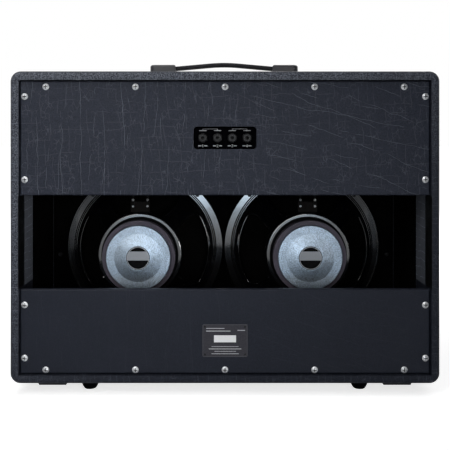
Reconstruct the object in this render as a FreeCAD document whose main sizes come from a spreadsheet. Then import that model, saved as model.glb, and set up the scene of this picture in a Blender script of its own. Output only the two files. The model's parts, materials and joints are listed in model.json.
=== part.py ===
"""Open-back guitar speaker cabinet with two twelve-inch drivers.

Millimetres, +Z up. The origin is on the floor, under the middle of the cabinet. The open rear of
the cabinet faces -Y and the grille faces +Y. Left and right are as seen from the rear.
"""
import FreeCAD, Part
import itertools
import math
import operator
import os
import types

import Sketcher

SIZES = {
    # Cabinet shell
    "cab_width": 715.0,
    "cab_height": 520.0,
    "cab_depth": 280.0,
    "board": 13.0,
    "vinyl": 1.0,
    "corner_radius": 17.0,
    "edge_round": 9.0,
    "rear_turn_in": 90.0,
    "finger_count": 11,
    # Clearances
    "hole_clearance": 0.2,
    "seat_gap": 0.3,
    # Front baffle, cloth and battens
    "baffle_setback": 32.0,
    "baffle_thickness": 18.0,
    "baffle_gap": 0.5,
    "cut_out_radius": 141.5,
    "cloth_thickness": 1.0,
    "batten_thickness": 10.0,
    "batten_width": 20.0,
    "baffle_screw_inset": 13.5,
    "baffle_screw_low": 16.0,
    "baffle_screw_high": 45.0,
    "baffle_row_inset": 10.0,
    "baffle_row_pitch": 165.0,
    "baffle_screw_head": 4.5,
    "baffle_screw_rise": 2.4,
    "baffle_screw_shank": 2.0,
    "baffle_screw_length": 26.0,
    # Rear panels and the cleats behind them
    "panel_recess": 6.0,
    "panel_thickness": 12.0,
    "panel_gap": 1.2,
    "panel_edge_round": 2.5,
    "upper_panel_height": 190.5,
    "lower_panel_height": 140.5,
    "cleat_width": 18.0,
    "cleat_depth": 18.0,
    "cleat_end_inset": 6.0,
    "top_row_inset": 11.0,
    "bottom_row_inset": 7.7,
    "row_end_inset": 44.0,
    "side_row_inset": 8.7,
    "side_screw_end": 26.0,
    "panel_screw_head": 5.5,
    "panel_screw_rise": 2.6,
    "panel_screw_shank": 2.1,
    "panel_screw_length": 26.0,
    "screw_tip": 4.0,
    "recess_arm": 0.8,
    # Jack plate, jacks and circuit board
    "jack_drop": 94.8,
    "jack_window_width": 105.0,
    "jack_window_height": 38.0,
    "jack_window_radius": 6.0,
    "jack_plate_width": 127.0,
    "jack_plate_height": 60.0,
    "jack_plate_thickness": 2.0,
    "jack_plate_screw_inset": 5.5,
    "jack_plate_screw_head": 3.4,
    "jack_plate_screw_rise": 1.8,
    "jack_plate_screw_shank": 1.5,
    "jack_plate_screw_length": 11.0,
    "jack_pitch": 24.8,
    "jack_body_width": 20.0,
    "jack_body_height": 22.0,
    "jack_body_depth": 26.0,
    "jack_bush_radius": 5.9,
    "jack_bush_length": 9.0,
    "jack_bore_radius": 3.25,
    "jack_chamber_radius": 4.0,
    "jack_chamber_end": 2.0,
    "jack_slot_width": 5.2,
    "jack_slot_start": 10.0,
    "jack_root_start": 4.0,
    "jack_nut_radius": 8.3,
    "jack_nut_height": 4.0,
    "contact_width": 4.4,
    "contact_sheet": 0.5,
    "contact_level": 5.7,
    "contact_root": 5.0,
    "contact_nose": 20.0,
    "contact_nose_level": 2.4,
    "contact_nose_flat": 1.2,
    "contact_nose_slope": 1.4,
    "circuit_board_width": 114.0,
    "circuit_board_height": 36.0,
    "circuit_board_thickness": 1.6,
    # Plate on the lower rear panel
    "plate_width": 75.0,
    "plate_height": 54.0,
    "plate_thickness": 0.8,
    "plate_corner": 3.0,
    "plate_rise": 55.3,
    "rivet_inset": 4.0,
    "rivet_head": 1.8,
    "rivet_rise": 1.0,
    "rivet_shank": 1.1,
    "rivet_length": 6.0,
    "rivet_tip": 0.5,
    # Strap handle
    "handle_length": 272.0,
    "cap_length": 47.0,
    "cap_width": 38.0,
    "cap_height": 23.0,
    "cap_corner": 9.0,
    "cap_edge": 4.0,
    "cap_roof": 1.2,
    "strap_width": 26.0,
    "strap_thickness": 6.3,
    "strap_crown": 27.1,
    "strap_radius": 300.0,
    "strap_tuck": 30.0,
    "strap_edge": 2.0,
    "strap_lift": 1.2,
    "pillar_setback": 17.0,
    "pillar_radius": 4.0,
    "pillar_slot": 6.0,
    "handle_screw_head": 4.4,
    "handle_screw_rise": 2.4,
    "handle_screw_shank": 2.2,
    "handle_screw_length": 30.0,
    "handle_screw_sink": 3.4,
    # Feet and pads
    "foot_height": 20.0,
    "foot_radius": 15.0,
    "foot_flat": 10.0,
    "foot_collar": 6.0,
    "foot_inset_x": 126.5,
    "foot_inset_y": 45.0,
    "foot_bore_depth": 9.0,
    "foot_screw_head": 4.6,
    "foot_screw_rise": 2.6,
    "foot_screw_shank": 2.2,
    "foot_screw_length": 23.0,
    "pad_inset_x": 65.5,
    "pad_inset_y": 27.0,
    "pad_width": 54.0,
    "pad_foot_width": 46.0,
    "pad_height": 10.0,
    "pad_depth": 40.0,
    # Driver places and chassis
    "driver_x": 157.0,
    "driver_rise": 190.0,
    "gasket": 3.0,
    "gasket_inner": 142.0,
    "chassis_sheet": 1.8,
    "rim_radius": 154.5,
    "rim_lip": 5.5,
    "bead_radius": 142.8,
    "bead_rise": 1.5,
    "bead_ramp": 2.4,
    "bead_flat": 0.8,
    "step_radius": 133.0,
    "step_depth": 10.0,
    "shoulder_radius": 128.0,
    "shoulder_depth": 14.0,
    "neck_depth": 86.0,
    "neck_flare": 1.0,
    "seat_depth": 102.0,
    "rib_inner": 72.2,
    "rib_outer": 76.1,
    "rib_rise": 2.5,
    "seat_bend": 2.4,
    "seat_hole": 26.0,
    "ledge_inner": 66.0,
    "ledge_outer": 71.0,
    "ledge_height": 11.6,
    "window_inner": 80.5,
    "window_outer": 127.0,
    "window_inner_half": 43.0,
    "window_outer_half": 78.0,
    "window_corner": 15.0,
    "bolt_circle": 295.5,
    "bolt_head": 4.6,
    "bolt_rise": 3.2,
    "bolt_sink": 4.0,
    "bolt_shank": 2.5,
    "bolt_length": 26.0,
    "bolt_tip": 0.6,
    "nut_across": 4.6,
    "nut_height": 4.0,
    # Driver motor
    "front_plate_hole": 24.0,
    "plate_radius": 59.0,
    "front_plate": 6.0,
    "magnet_hole": 30.0,
    "magnet_radius": 67.0,
    "magnet_height": 18.0,
    "rear_plate": 8.0,
    "rear_plate_edge": 1.0,
    "boss_radius": 43.6,
    "boss_top_radius": 22.5,
    "boss_height": 3.0,
    "pole_radius": 21.2,
    "label_radius": 21.5,
    "label_thickness": 0.3,
    # Driver moving parts
    "cone_neck": 22.6,
    "cone_edge": 128.0,
    "cone_front": 5.0,
    "cone_depth": 77.0,
    "cone_paper": 1.5,
    "cap_radius": 32.0,
    "cap_rise": 12.4,
    "cap_paper": 0.7,
    "coil_former_inner": 21.8,
    "coil_former_outer": 22.4,
    "coil_front": 80.0,
    "coil_length": 32.0,
    "winding_radius": 23.2,
    "winding_setback": 2.0,
    "winding_length": 10.0,
    "spider_sheet": 0.8,
    "spider_wave": 2.0,
    "spider_flat": 4.0,
    "spider_waves": 5,
    "surround_outer": 141.0,
    "surround_sheet": 0.8,
    "surround_roll": 2.0,
    # Terminals and leads
    "tab_width": 30.0,
    "tab_low": 76.4,
    "tab_high": 92.0,
    "tab_setback": 9.0,
    "terminal_width": 36.0,
    "terminal_low": 80.0,
    "terminal_high": 99.0,
    "terminal_thickness": 1.6,
    "tag_spread": 13.6,
    "tag_width": 6.0,
    "tag_low": 87.0,
    "tag_high": 106.0,
    "tag_thickness": 0.8,
    "lead_radius": 1.3,
    "lead_drop": 42.0,
}

OPERATIONS = {"+": operator.add, "-": operator.sub, "*": operator.mul, "/": operator.truediv}
REARWARD = FreeCAD.Rotation(FreeCAD.Vector(1, 0, 0), 90)
FORWARD = FreeCAD.Rotation(FreeCAD.Vector(1, 0, 0), -90)
DOWNWARD = FreeCAD.Rotation(FreeCAD.Vector(1, 0, 0), 180)
UPWARD = FreeCAD.Rotation()
QUARTER_TURNS = 4
FULL_TURN = 360
HEXAGON_SIDES = 6
NEARLY_ONE = 0.999
SAME_POINT = 1e-6
RECESS_REACH = 0.6
RECESS_FLOOR = 1 / 3
ROW_STEPS = (-2, -1, 0, 1, 2)
BAFFLE_SIDE_SCREWS = 4
BAFFLE_ROW_STEPS = (-1, 0, 1)
JACK_HALF_STEPS = (-3, -1, 1, 3)
BEND_SHARE = 0.45
SIDES = {"left": -1, "right": 1}
ENDS = {"rear": -1, "front": 1}


class Dim:
    """A length, held as a number and as an expression on the sheet."""

    def __init__(self, value, text):
        self.value = value
        self.text = text

    def __add__(self, other):
        return combine(self, "+", other)

    def __radd__(self, other):
        return combine(other, "+", self)

    def __sub__(self, other):
        return combine(self, "-", other)

    def __rsub__(self, other):
        return combine(other, "-", self)

    def __mul__(self, other):
        return combine(self, "*", other)

    def __rmul__(self, other):
        return combine(other, "*", self)

    def __truediv__(self, other):
        return combine(self, "/", other)

    def __neg__(self):
        return combine(0, "-", self)


def dim(number):
    """A plain number as a Dim."""
    return number if isinstance(number, Dim) else Dim(float(number), repr(float(number)))


def combine(left, sign, right):
    """Two lengths joined by one sign."""
    left = dim(left)
    right = dim(right)
    return Dim(OPERATIONS[sign](left.value, right.value), f"({left.text} {sign} {right.text})")


def root(length):
    """The square root of a Dim."""
    return Dim(math.sqrt(length.value), f"sqrt({length.text})")


def sagitta_radius(half_chord, rise):
    """The radius of an arc that rises this far over half its chord."""
    return (half_chord * half_chord + rise * rise) / (2 * rise)


doc = FreeCAD.newDocument("SpeakerCabinet")
sheet = doc.addObject("Spreadsheet::Sheet", "Sizes")
for row, (alias, number) in enumerate(SIZES.items(), start=1):
    sheet.set(f"A{row}", alias)
    sheet.set(f"B{row}", str(number))
    sheet.setAlias(f"B{row}", alias)
doc.recompute()
size = types.SimpleNamespace(**{name: Dim(number, f"Sizes.{name}") for name, number in SIZES.items()})
derived_rows = itertools.count(len(SIZES) + 1)
pieces = []

# Shared planes and levels
wall = size.board + 2 * size.vinyl
half_width = size.cab_width / 2
rear = -size.cab_depth / 2
front = size.cab_depth / 2
shell_low = size.foot_height
shell_high = size.foot_height + size.cab_height
inner_side = half_width - wall
inner_low = shell_low + wall
inner_high = shell_high - wall
baffle_rear = front - size.baffle_setback
baffle_front = baffle_rear + size.baffle_thickness
batten_rear = baffle_front + size.cloth_thickness
panel_rear = rear + size.panel_recess
panel_front = panel_rear + size.panel_thickness
upper_top = inner_high - size.panel_gap
upper_bottom = upper_top - size.upper_panel_height
lower_bottom = inner_low + size.panel_gap
lower_top = lower_bottom + size.lower_panel_height
jack_level = upper_top - size.jack_drop
jack_face = panel_front + size.jack_plate_thickness
driver_level = shell_low + size.driver_rise
flange_rear = size.gasket + size.chassis_sheet


def finish(obj, node):
    """Names a finished sub-part and lists it."""
    obj.Label = node
    pieces.append(obj)
    return obj


def held(alias, length):
    """Keeps a worked-out length on the sheet and gives it back by its name."""
    row = next(derived_rows)
    sheet.set(f"A{row}", alias)
    sheet.set(f"B{row}", "=" + length.text.replace("Sizes.", ""))
    sheet.setAlias(f"B{row}", alias)
    return Dim(length.value, f"Sizes.{alias}")


def place(obj, at, turn=UPWARD):
    """Puts an object at a point bound to the sheet."""
    obj.Placement = FreeCAD.Placement(FreeCAD.Vector(*[dim(offset).value for offset in at]), turn)
    for axis, offset in zip("xyz", at):
        obj.setExpression(f"Placement.Base.{axis}", dim(offset).text)
    return obj


def box(name, *spans):
    """A block between a low and a high value along X, Y and Z."""
    block = doc.addObject("Part::Box", name)
    for side, (low, high) in zip(("Length", "Width", "Height"), spans):
        block.setExpression(side, (high - dim(low)).text)
    return place(block, [low for low, high in spans])


def rod(name, radius, height, at, turn=UPWARD):
    """A cylinder that starts at a point."""
    cylinder = doc.addObject("Part::Cylinder", name)
    cylinder.setExpression("Radius", radius.text)
    cylinder.setExpression("Height", height.text)
    return place(cylinder, at, turn)


def group(name, members):
    """Separate solids held as one object."""
    compound = doc.addObject("Part::Compound", name)
    compound.Links = members
    return compound


def fuse(name, members):
    """Solids joined into one."""
    joined = doc.addObject("Part::MultiFuse", name)
    joined.Shapes = members
    joined.Refine = True
    return joined


def cut(name, base, tool):
    """One object with another taken away."""
    result = doc.addObject("Part::Cut", name)
    result.Base = base
    result.Tool = tool
    return result


def common(name, base, tool):
    """What two objects share."""
    result = doc.addObject("Part::Common", name)
    result.Base = base
    result.Tool = tool
    return result


def rounded(name, base, radius, chosen):
    """An object with its chosen edges rounded."""
    doc.recompute()
    fillet = doc.addObject("Part::Fillet", name)
    fillet.Base = base
    numbered = enumerate(base.Shape.Edges, start=1)
    fillet.Edges = [(index, radius.value, radius.value) for index, edge in numbered if chosen(edge)]
    return fillet


def new_body(name):
    """An empty body."""
    return doc.addObject("PartDesign::Body", name)


def new_sketch(body, plane, name, offset=None):
    """A sketch on one of its body's origin planes, lifted by an offset where one is given."""
    sketch = body.newObject("Sketcher::SketchObject", f"{body.Name}_{name}")
    support = [feature for feature in body.Origin.OriginFeatures if feature.Role == plane]
    sketch.AttachmentSupport = [(support[0], "")]
    sketch.MapMode = "FlatFace"
    if offset is not None:
        sketch.setExpression("AttachmentOffset.Base.z", offset.text)
    return sketch


def flat(corner):
    """A sketch corner as a vector."""
    return FreeCAD.Vector(dim(corner[0]).value, dim(corner[1]).value, 0)


def arc_middle(first, last, radius, turn):
    """The middle of the short arc from first to last; turn is 1 anticlockwise and -1 clockwise."""
    chord = last.sub(first)
    across = FreeCAD.Vector(chord.y, -chord.x, 0).normalize()
    half = chord.Length / 2
    rise = radius - math.sqrt(max(radius * radius - half * half, 0))
    return first.add(last).multiply(0.5).add(across.multiply(turn * rise))


def bind_corner(sketch, geometry, point, corner):
    """Ties one end of a line or arc to the sheet."""
    axes = (("DistanceX", -2), ("DistanceY", -1))
    for (kind, axis), offset in zip(axes, corner):
        if isinstance(offset, Dim):
            number = sketch.addConstraint(Sketcher.Constraint(kind, -1, 1, geometry, point, offset.value))
            sketch.setExpression(f"Constraints[{number}]", offset.text)
        else:
            sketch.addConstraint(Sketcher.Constraint("PointOnObject", geometry, point, axis))


def outline(sketch, start, steps):
    """A closed outline. A step is a corner, with a radius and a turn after it where it ends an arc."""
    corners = [start] + [step[:2] for step in steps]
    ends = []
    for first, step in zip(corners, steps):
        begin = flat(first)
        end = flat(step)
        if len(step) == 2:
            ends.append((sketch.addGeometry(Part.LineSegment(begin, end), False), 1, 2))
            continue
        middle = arc_middle(begin, end, step[2].value, step[3])
        number = sketch.addGeometry(Part.Arc(begin, middle, end), False)
        forward = sketch.getPoint(number, 1).isEqual(begin, SAME_POINT)
        ends.append((number, 1, 2) if forward else (number, 2, 1))
    for (number, begin, end), (following, begin_next, end_next) in zip(ends, ends[1:] + ends[:1]):
        sketch.addConstraint(Sketcher.Constraint("Coincident", number, end, following, begin_next))
    for (number, begin, end), corner in zip(ends, corners):
        bind_corner(sketch, number, begin, corner)
    for (number, begin, end), step in zip(ends, steps):
        if len(step) > 2:
            bound = sketch.addConstraint(Sketcher.Constraint("Radius", number, step[2].value))
            sketch.setExpression(f"Constraints[{bound}]", step[2].text)


def circle(sketch, x, y, radius):
    """A full circle bound to the sheet."""
    number = sketch.addGeometry(Part.Circle(flat((x, y)), FreeCAD.Vector(0, 0, 1), radius.value), False)
    bind_corner(sketch, number, 3, (x, y))
    bound = sketch.addConstraint(Sketcher.Constraint("Radius", number, radius.value))
    sketch.setExpression(f"Constraints[{bound}]", radius.text)


def rounded_outline(sketch, half_x, half_y, radius, middle=0):
    """A rectangle with round corners, centred at a height above the sketch's origin."""
    low = middle - half_y
    high = middle + half_y
    outline(sketch, (-half_x, low + radius), [
        (-half_x + radius, low, radius, 1),
        (half_x - radius, low),
        (half_x, low + radius, radius, 1),
        (half_x, high - radius),
        (half_x - radius, high, radius, 1),
        (-half_x + radius, high),
        (-half_x, high - radius, radius, 1),
        (-half_x, low + radius),
    ])


def pad(body, sketch, length, midplane=False):
    """A sketch made into a solid."""
    feature = body.newObject("PartDesign::Pad", f"{sketch.Name}_pad")
    feature.Profile = sketch
    feature.setExpression("Length", length.text)
    feature.Midplane = midplane
    return feature


def pocket(body, sketch, length):
    """A sketch cut the same way on both sides of its plane."""
    feature = body.newObject("PartDesign::Pocket", f"{sketch.Name}_pocket")
    feature.Profile = sketch
    feature.setExpression("Length", length.text)
    feature.Midplane = True
    return feature


def spin(body, sketch):
    """A sketch turned about its own vertical axis."""
    feature = body.newObject("PartDesign::Revolution", f"{sketch.Name}_spin")
    feature.Profile = sketch
    feature.ReferenceAxis = (sketch, ["V_Axis"])
    feature.Angle = FULL_TURN
    return feature


def round_faces(body, feature, radius, chosen):
    """Rounds the edges of a feature's chosen faces."""
    doc.recompute()
    numbered = enumerate(feature.Shape.Faces, start=1)
    names = [f"Face{index}" for index, face in numbered if chosen(face)]
    fillet = body.newObject("PartDesign::Fillet", f"{feature.Name}_round")
    fillet.Base = (feature, names)
    fillet.setExpression("Radius", radius.text)
    return fillet


def turned(name, at, turn, start, steps):
    """A round piece, from an outline of radius and height."""
    body = new_body(name)
    sketch = new_sketch(body, "XZ_Plane", "outline")
    outline(sketch, start, steps)
    spin(body, sketch)
    return place(body, at, turn)


def ring(name, at, turn, inner, outer, low, high):
    """A plain ring between two radii and two heights."""
    return turned(name, at, turn, (inner, low), [(outer, low), (outer, high), (inner, high), (inner, low)])


def screw(name, head, rise, shank, length, tip):
    """A domed cross-recess screw along Z, with the underside of its head at the origin."""
    blank = turned(f"{name}_blank", (0, 0, 0), UPWARD, (0, -length), [
        (shank, tip - length),
        (shank, 0),
        (head, 0),
        (0, rise, sagitta_radius(head, rise), 1),
        (0, -length),
    ])
    reach = head * RECESS_REACH
    arm = size.recess_arm
    floor = rise * RECESS_FLOOR
    top = rise + head
    along = box(f"{name}_recess_x", (-reach, reach), (-arm, arm), (floor, top))
    across = box(f"{name}_recess_y", (-arm, arm), (-reach, reach), (floor, top))
    return cut(name, blank, fuse(f"{name}_recess", [along, across]))


def copies(node, model, spots, turn):
    """One node of equal solids, one at each spot."""
    links = []
    for index, spot in enumerate(spots):
        link = doc.addObject("App::Link", f"{node}_{index}")
        link.LinkedObject = model
        links.append(place(link, spot, turn))
    return finish(group(node, links), node)


def holes(name, spots, radius, length, turn):
    """Straight holes that start at each spot."""
    rods = [rod(f"{name}_{index}", radius, length, spot, turn) for index, spot in enumerate(spots)]
    return group(name, rods)


def facing_y(face):
    """Whether a flat face looks along Y."""
    return abs(face.normalAt(0, 0).y) > NEARLY_ONE and isinstance(face.Surface, Part.Plane)


def rear_panel_spots():
    """The screws of the two rear panels, as upper and lower lists of X and Z."""
    upper = []
    lower = []
    row_end = inner_side - size.row_end_inset
    for step in ROW_STEPS:
        x = row_end * (step / ROW_STEPS[-1])
        upper.append((x, inner_high - size.top_row_inset))
        lower.append((x, inner_low + size.bottom_row_inset))
    for sign in SIDES.values():
        x = sign * (inner_side - size.side_row_inset)
        upper.append((x, upper_top - size.side_screw_end))
        upper.append((x, upper_bottom + size.side_screw_end))
        lower.append((x, lower_top - size.side_screw_end))
        lower.append((x, lower_bottom + size.side_screw_end))
    return upper, lower


def baffle_spots():
    """The screws of the baffle, as X and Z."""
    spots = []
    low = inner_low + size.baffle_screw_low
    high = inner_high - size.baffle_screw_high
    for sign in SIDES.values():
        x = sign * (inner_side - size.baffle_screw_inset)
        for step in range(BAFFLE_SIDE_SCREWS):
            spots.append((x, low + (high - low) * (step / (BAFFLE_SIDE_SCREWS - 1))))
    for level in (inner_low + size.baffle_row_inset, inner_high - size.baffle_row_inset):
        for step in BAFFLE_ROW_STEPS:
            spots.append((step * size.baffle_row_pitch, level))
    return spots


def bolt_spots():
    """The bolts of both drivers, as X and Z."""
    reach = size.bolt_circle / 2 / root(dim(2))
    spots = []
    for sign in SIDES.values():
        for across in SIDES.values():
            for up in SIDES.values():
                spots.append((sign * size.driver_x + across * reach, driver_level + up * reach))
    return spots


def foot_spots():
    """The feet, by name, as X and Y."""
    spots = {}
    for end, along in ENDS.items():
        for side, across in SIDES.items():
            x = across * (half_width - size.foot_inset_x)
            y = along * (size.cab_depth / 2 - size.foot_inset_y)
            spots[f"{end}_{side}_foot"] = (x, y)
    return spots


def handle_spots():
    """The two handle screws, as X."""
    mouth = size.handle_length / 2 - size.cap_length
    return [sign * (mouth + size.pillar_setback) for sign in SIDES.values()]


def block_form(name, margin):
    """The rounded outer form of the shell, drawn in by a margin."""
    body = new_body(name)
    sketch = new_sketch(body, "XZ_Plane", "outline")
    half_x = half_width - margin
    half_z = size.cab_height / 2 - margin
    rounded_outline(sketch, half_x, half_z, size.corner_radius - margin, shell_low + size.cab_height / 2)
    solid = pad(body, sketch, size.cab_depth - 2 * margin, midplane=True)
    round_faces(body, solid, size.edge_round - margin, facing_y)
    return body


def lining(name, low, high, margin):
    """A square sleeve of vinyl on the inner walls, over a length of the cabinet's depth."""
    side = half_width - wall
    outer_side = side + size.vinyl
    outer = box(f"{name}_outer", (-outer_side, outer_side), (low, high),
                (inner_low - size.vinyl, inner_high + size.vinyl))
    inner = box(f"{name}_inner", (-side, side), (low - margin, high + margin), (inner_low, inner_high))
    return cut(name, outer, inner)


def shell():
    """The four finger-jointed boards and their vinyl covering."""
    form = block_form("board_form", size.vinyl)
    skin_form = block_form("skin_form", dim(0))
    past = size.edge_round
    hollow = box("hollow", (-inner_side, inner_side), (rear - past, front + past), (inner_low, inner_high))
    handle_holes = holes("handle_holes", [(x, 0, inner_high - past) for x in handle_spots()],
                         size.handle_screw_shank + size.hole_clearance, wall + 2 * past, UPWARD)
    foot_holes = holes("foot_holes", [(x, y, shell_low - past) for x, y in foot_spots().values()],
                       size.foot_screw_shank + size.hole_clearance, wall + 2 * past, UPWARD)
    drilled = group("shell_holes", [handle_holes, foot_holes])
    skin = cut("skin_frame", cut("skin_closed", skin_form, form), hollow)
    rear_lining = lining("rear_lining", rear + size.vinyl / 2, rear + size.rear_turn_in, past)
    front_lining = lining("front_lining", baffle_rear, front - size.vinyl / 2, past)
    covering = fuse("covering", [skin, rear_lining, front_lining])
    finish(cut("vinyl_covering", covering, drilled), "vinyl_covering")

    step = (size.cab_depth - 2 * size.vinyl) / size.finger_count
    board_rear = rear + size.vinyl
    board_front = front - size.vinyl
    outer_side = half_width - size.vinyl
    board_side = outer_side - size.board
    low_face = shell_low + size.vinyl
    high_face = shell_high - size.vinyl
    side_spans = {"left": (-outer_side, -board_side), "right": (board_side, outer_side)}
    level_spans = {"bottom": (low_face, low_face + size.board), "top": (high_face - size.board, high_face)}

    def fingers(name, spans, first):
        """Corner blocks, every second one along the depth."""
        blocks = []
        for index in range(first, SIZES["finger_count"], 2):
            along = (board_rear + step * index, board_rear + step * (index + 1))
            for number, (across, level) in enumerate(spans):
                blocks.append(box(f"{name}_finger_{index}_{number}", across, along, level))
        return blocks

    for level, height in level_spans.items():
        name = f"{level}_board"
        slab = box(f"{name}_slab", (-board_side, board_side), (board_rear, board_front), height)
        corners = [(across, height) for across in side_spans.values()]
        raw = fuse(f"{name}_raw", [slab] + fingers(name, corners, 1))
        finish(cut(name, common(f"{name}_form", raw, form), drilled), name)
    for side, across in side_spans.items():
        name = f"{side}_side_board"
        height = (low_face + size.board, high_face - size.board)
        slab = box(f"{name}_slab", across, (board_rear, board_front), height)
        corners = [(across, level) for level in level_spans.values()]
        raw = fuse(f"{name}_raw", [slab] + fingers(name, corners, 0))
        finish(common(name, raw, form), name)


def baffle():
    """The front baffle with its cloth, battens and screws."""
    side = inner_side - size.baffle_gap
    low = inner_low + size.baffle_gap
    high = inner_high - size.baffle_gap
    spots = baffle_spots()
    screw_holes = holes("baffle_screw_holes", [(x, baffle_rear, z) for x, z in spots],
                        size.baffle_screw_shank + size.hole_clearance,
                        size.baffle_screw_length + size.batten_thickness, FORWARD)
    bolts = bolt_spots()
    bolt_holes = holes("bolt_holes", [(x, baffle_rear, z) for x, z in bolts],
                       size.bolt_shank + size.hole_clearance, size.baffle_thickness, FORWARD)
    sink_start = baffle_front - size.bolt_sink
    bolt_sinks = holes("bolt_sinks", [(x, sink_start, z) for x, z in bolts],
                       size.bolt_head + size.hole_clearance, size.bolt_sink, FORWARD)
    middles = [(sign * size.driver_x, baffle_rear, driver_level) for sign in SIDES.values()]
    mouths = holes("driver_mouths", middles, size.cut_out_radius, size.baffle_thickness, FORWARD)
    blank = box("baffle_blank", (-side, side), (baffle_rear, baffle_front), (low, high))
    for tool in (screw_holes, bolt_holes, bolt_sinks):
        blank = cut(f"baffle_less_{tool.Name}", blank, tool)
    finish(cut("front_baffle", blank, mouths), "front_baffle")

    cloth = box("cloth_blank", (-side, side), (baffle_front, batten_rear), (low, high))
    finish(cut("grille_cloth", cloth, screw_holes), "grille_cloth")

    along = (batten_rear, batten_rear + size.batten_thickness)
    inner_edge = inner_side - size.batten_width
    bars = [
        box("batten_low", (-inner_side, inner_side), along, (inner_low, inner_low + size.batten_width)),
        box("batten_high", (-inner_side, inner_side), along, (inner_high - size.batten_width, inner_high)),
    ]
    upright = (inner_low + size.batten_width, inner_high - size.batten_width)
    bars.append(box("batten_left", (-inner_side, -inner_edge), along, upright))
    bars.append(box("batten_right", (inner_edge, inner_side), along, upright))
    finish(cut("front_battens", group("batten_bars", bars), screw_holes), "front_battens")

    model = screw("baffle_screw", size.baffle_screw_head, size.baffle_screw_rise,
                  size.baffle_screw_shank, size.baffle_screw_length, size.screw_tip)
    copies("baffle_screws", model, [(x, baffle_rear, z) for x, z in spots], REARWARD)


def rear_panel(name, low, high, tools):
    """A vinyl-covered rear panel with softened edges."""
    half = inner_side - size.panel_gap
    body = new_body(f"{name}_blank")
    sketch = new_sketch(body, "XZ_Plane", "outline")
    outline(sketch, (-half, low), [(half, low), (half, high), (-half, high), (-half, low)])
    solid = pad(body, sketch, size.panel_thickness)
    round_faces(body, solid, size.panel_edge_round, facing_y)
    place(body, (0, panel_front, 0))
    blank = body
    for tool in tools:
        blank = cut(f"{name}_less_{tool.Name}", blank, tool)
    return finish(blank, name)


def rear_panels():
    """The rear panels, their cleats and screws, and the plate on the lower one."""
    upper, lower = rear_panel_spots()
    reach = size.panel_screw_length
    bore = size.panel_screw_shank + size.hole_clearance
    upper_holes = holes("upper_holes", [(x, panel_rear, z) for x, z in upper], bore, reach, FORWARD)
    lower_holes = holes("lower_holes", [(x, panel_rear, z) for x, z in lower], bore, reach, FORWARD)

    window = new_body("jack_window")
    sketch = new_sketch(window, "XZ_Plane", "outline")
    rounded_outline(sketch, size.jack_window_width / 2, size.jack_window_height / 2,
                    size.jack_window_radius, jack_level)
    pad(window, sketch, size.cab_depth, midplane=True)
    fix_holes = holes("jack_plate_holes", [(x, panel_front, z) for x, z in jack_plate_spots()],
                      size.jack_plate_screw_shank + size.hole_clearance,
                      size.jack_plate_screw_length, REARWARD)
    rear_panel("upper_rear_panel", upper_bottom, upper_top, [upper_holes, window, fix_holes])
    rivet_holes = holes("rivet_holes", [(x, panel_rear, z) for x, z in rivet_spots()],
                        size.rivet_shank + size.hole_clearance, size.rivet_length, FORWARD)
    rear_panel("lower_rear_panel", lower_bottom, lower_top, [lower_holes, rivet_holes])

    along = (panel_front, panel_front + size.cleat_depth)
    inner_edge = inner_side - size.cleat_width
    cleat_top = inner_high - size.cleat_width
    cleat_floor = inner_low + size.cleat_width
    uprights = {
        "upper": (upper_bottom + size.cleat_end_inset, cleat_top),
        "lower": (cleat_floor, lower_top - size.cleat_end_inset),
    }
    levels = {"upper": (cleat_top, inner_high), "lower": (inner_low, cleat_floor)}
    drilled = {"upper": upper_holes, "lower": lower_holes}
    for place_name, upright in uprights.items():
        bars = [
            box(f"{place_name}_cleat_across", (-inner_side, inner_side), along, levels[place_name]),
            box(f"{place_name}_cleat_left", (-inner_side, -inner_edge), along, upright),
            box(f"{place_name}_cleat_right", (inner_edge, inner_side), along, upright),
        ]
        node = f"{place_name}_cleats"
        finish(cut(node, group(f"{node}_bars", bars), drilled[place_name]), node)

    model = screw("panel_screw", size.panel_screw_head, size.panel_screw_rise,
                  size.panel_screw_shank, size.panel_screw_length, size.screw_tip)
    copies("rear_panel_screws", model, [(x, panel_rear, z) for x, z in upper + lower], REARWARD)
    rating_plate(rivet_holes)


def rivet_spots():
    """The four fasteners of the plate on the lower panel, as X and Z."""
    across = size.plate_width / 2 - size.rivet_inset
    up = size.plate_height / 2 - size.rivet_inset
    middle = lower_bottom + size.plate_rise
    return [(x * across, middle + z * up) for x in SIDES.values() for z in SIDES.values()]


def rating_plate(rivet_holes):
    """The bare plate on the lower panel and its rivets."""
    body = new_body("plate_blank")
    sketch = new_sketch(body, "XZ_Plane", "outline")
    rounded_outline(sketch, size.plate_width / 2, size.plate_height / 2, size.plate_corner,
                    lower_bottom + size.plate_rise)
    pad(body, sketch, size.plate_thickness)
    place(body, (0, panel_rear, 0))
    face = panel_rear - size.plate_thickness
    through = holes("plate_holes", [(x, face, z) for x, z in rivet_spots()],
                    size.rivet_shank + size.hole_clearance, size.plate_thickness, FORWARD)
    finish(cut("rating_plate", body, through), "rating_plate")
    model = turned("rivet", (0, 0, 0), UPWARD, (0, -size.rivet_length), [
        (size.rivet_shank, size.rivet_tip - size.rivet_length),
        (size.rivet_shank, 0),
        (size.rivet_head, 0),
        (0, size.rivet_rise, sagitta_radius(size.rivet_head, size.rivet_rise), 1),
        (0, -size.rivet_length),
    ])
    copies("rating_plate_rivets", model, [(x, face, z) for x, z in rivet_spots()], REARWARD)


def jack_plate_spots():
    """The screws of the jack plate, as X and Z."""
    across = size.jack_plate_width / 2 - size.jack_plate_screw_inset
    up = size.jack_plate_height / 2 - size.jack_plate_screw_inset
    return [(x * across, jack_level + z * up) for x in SIDES.values() for z in SIDES.values()]


def jack_columns():
    """The X of each jack, from left to right."""
    return [size.jack_pitch / 2 * step for step in JACK_HALF_STEPS]


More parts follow.
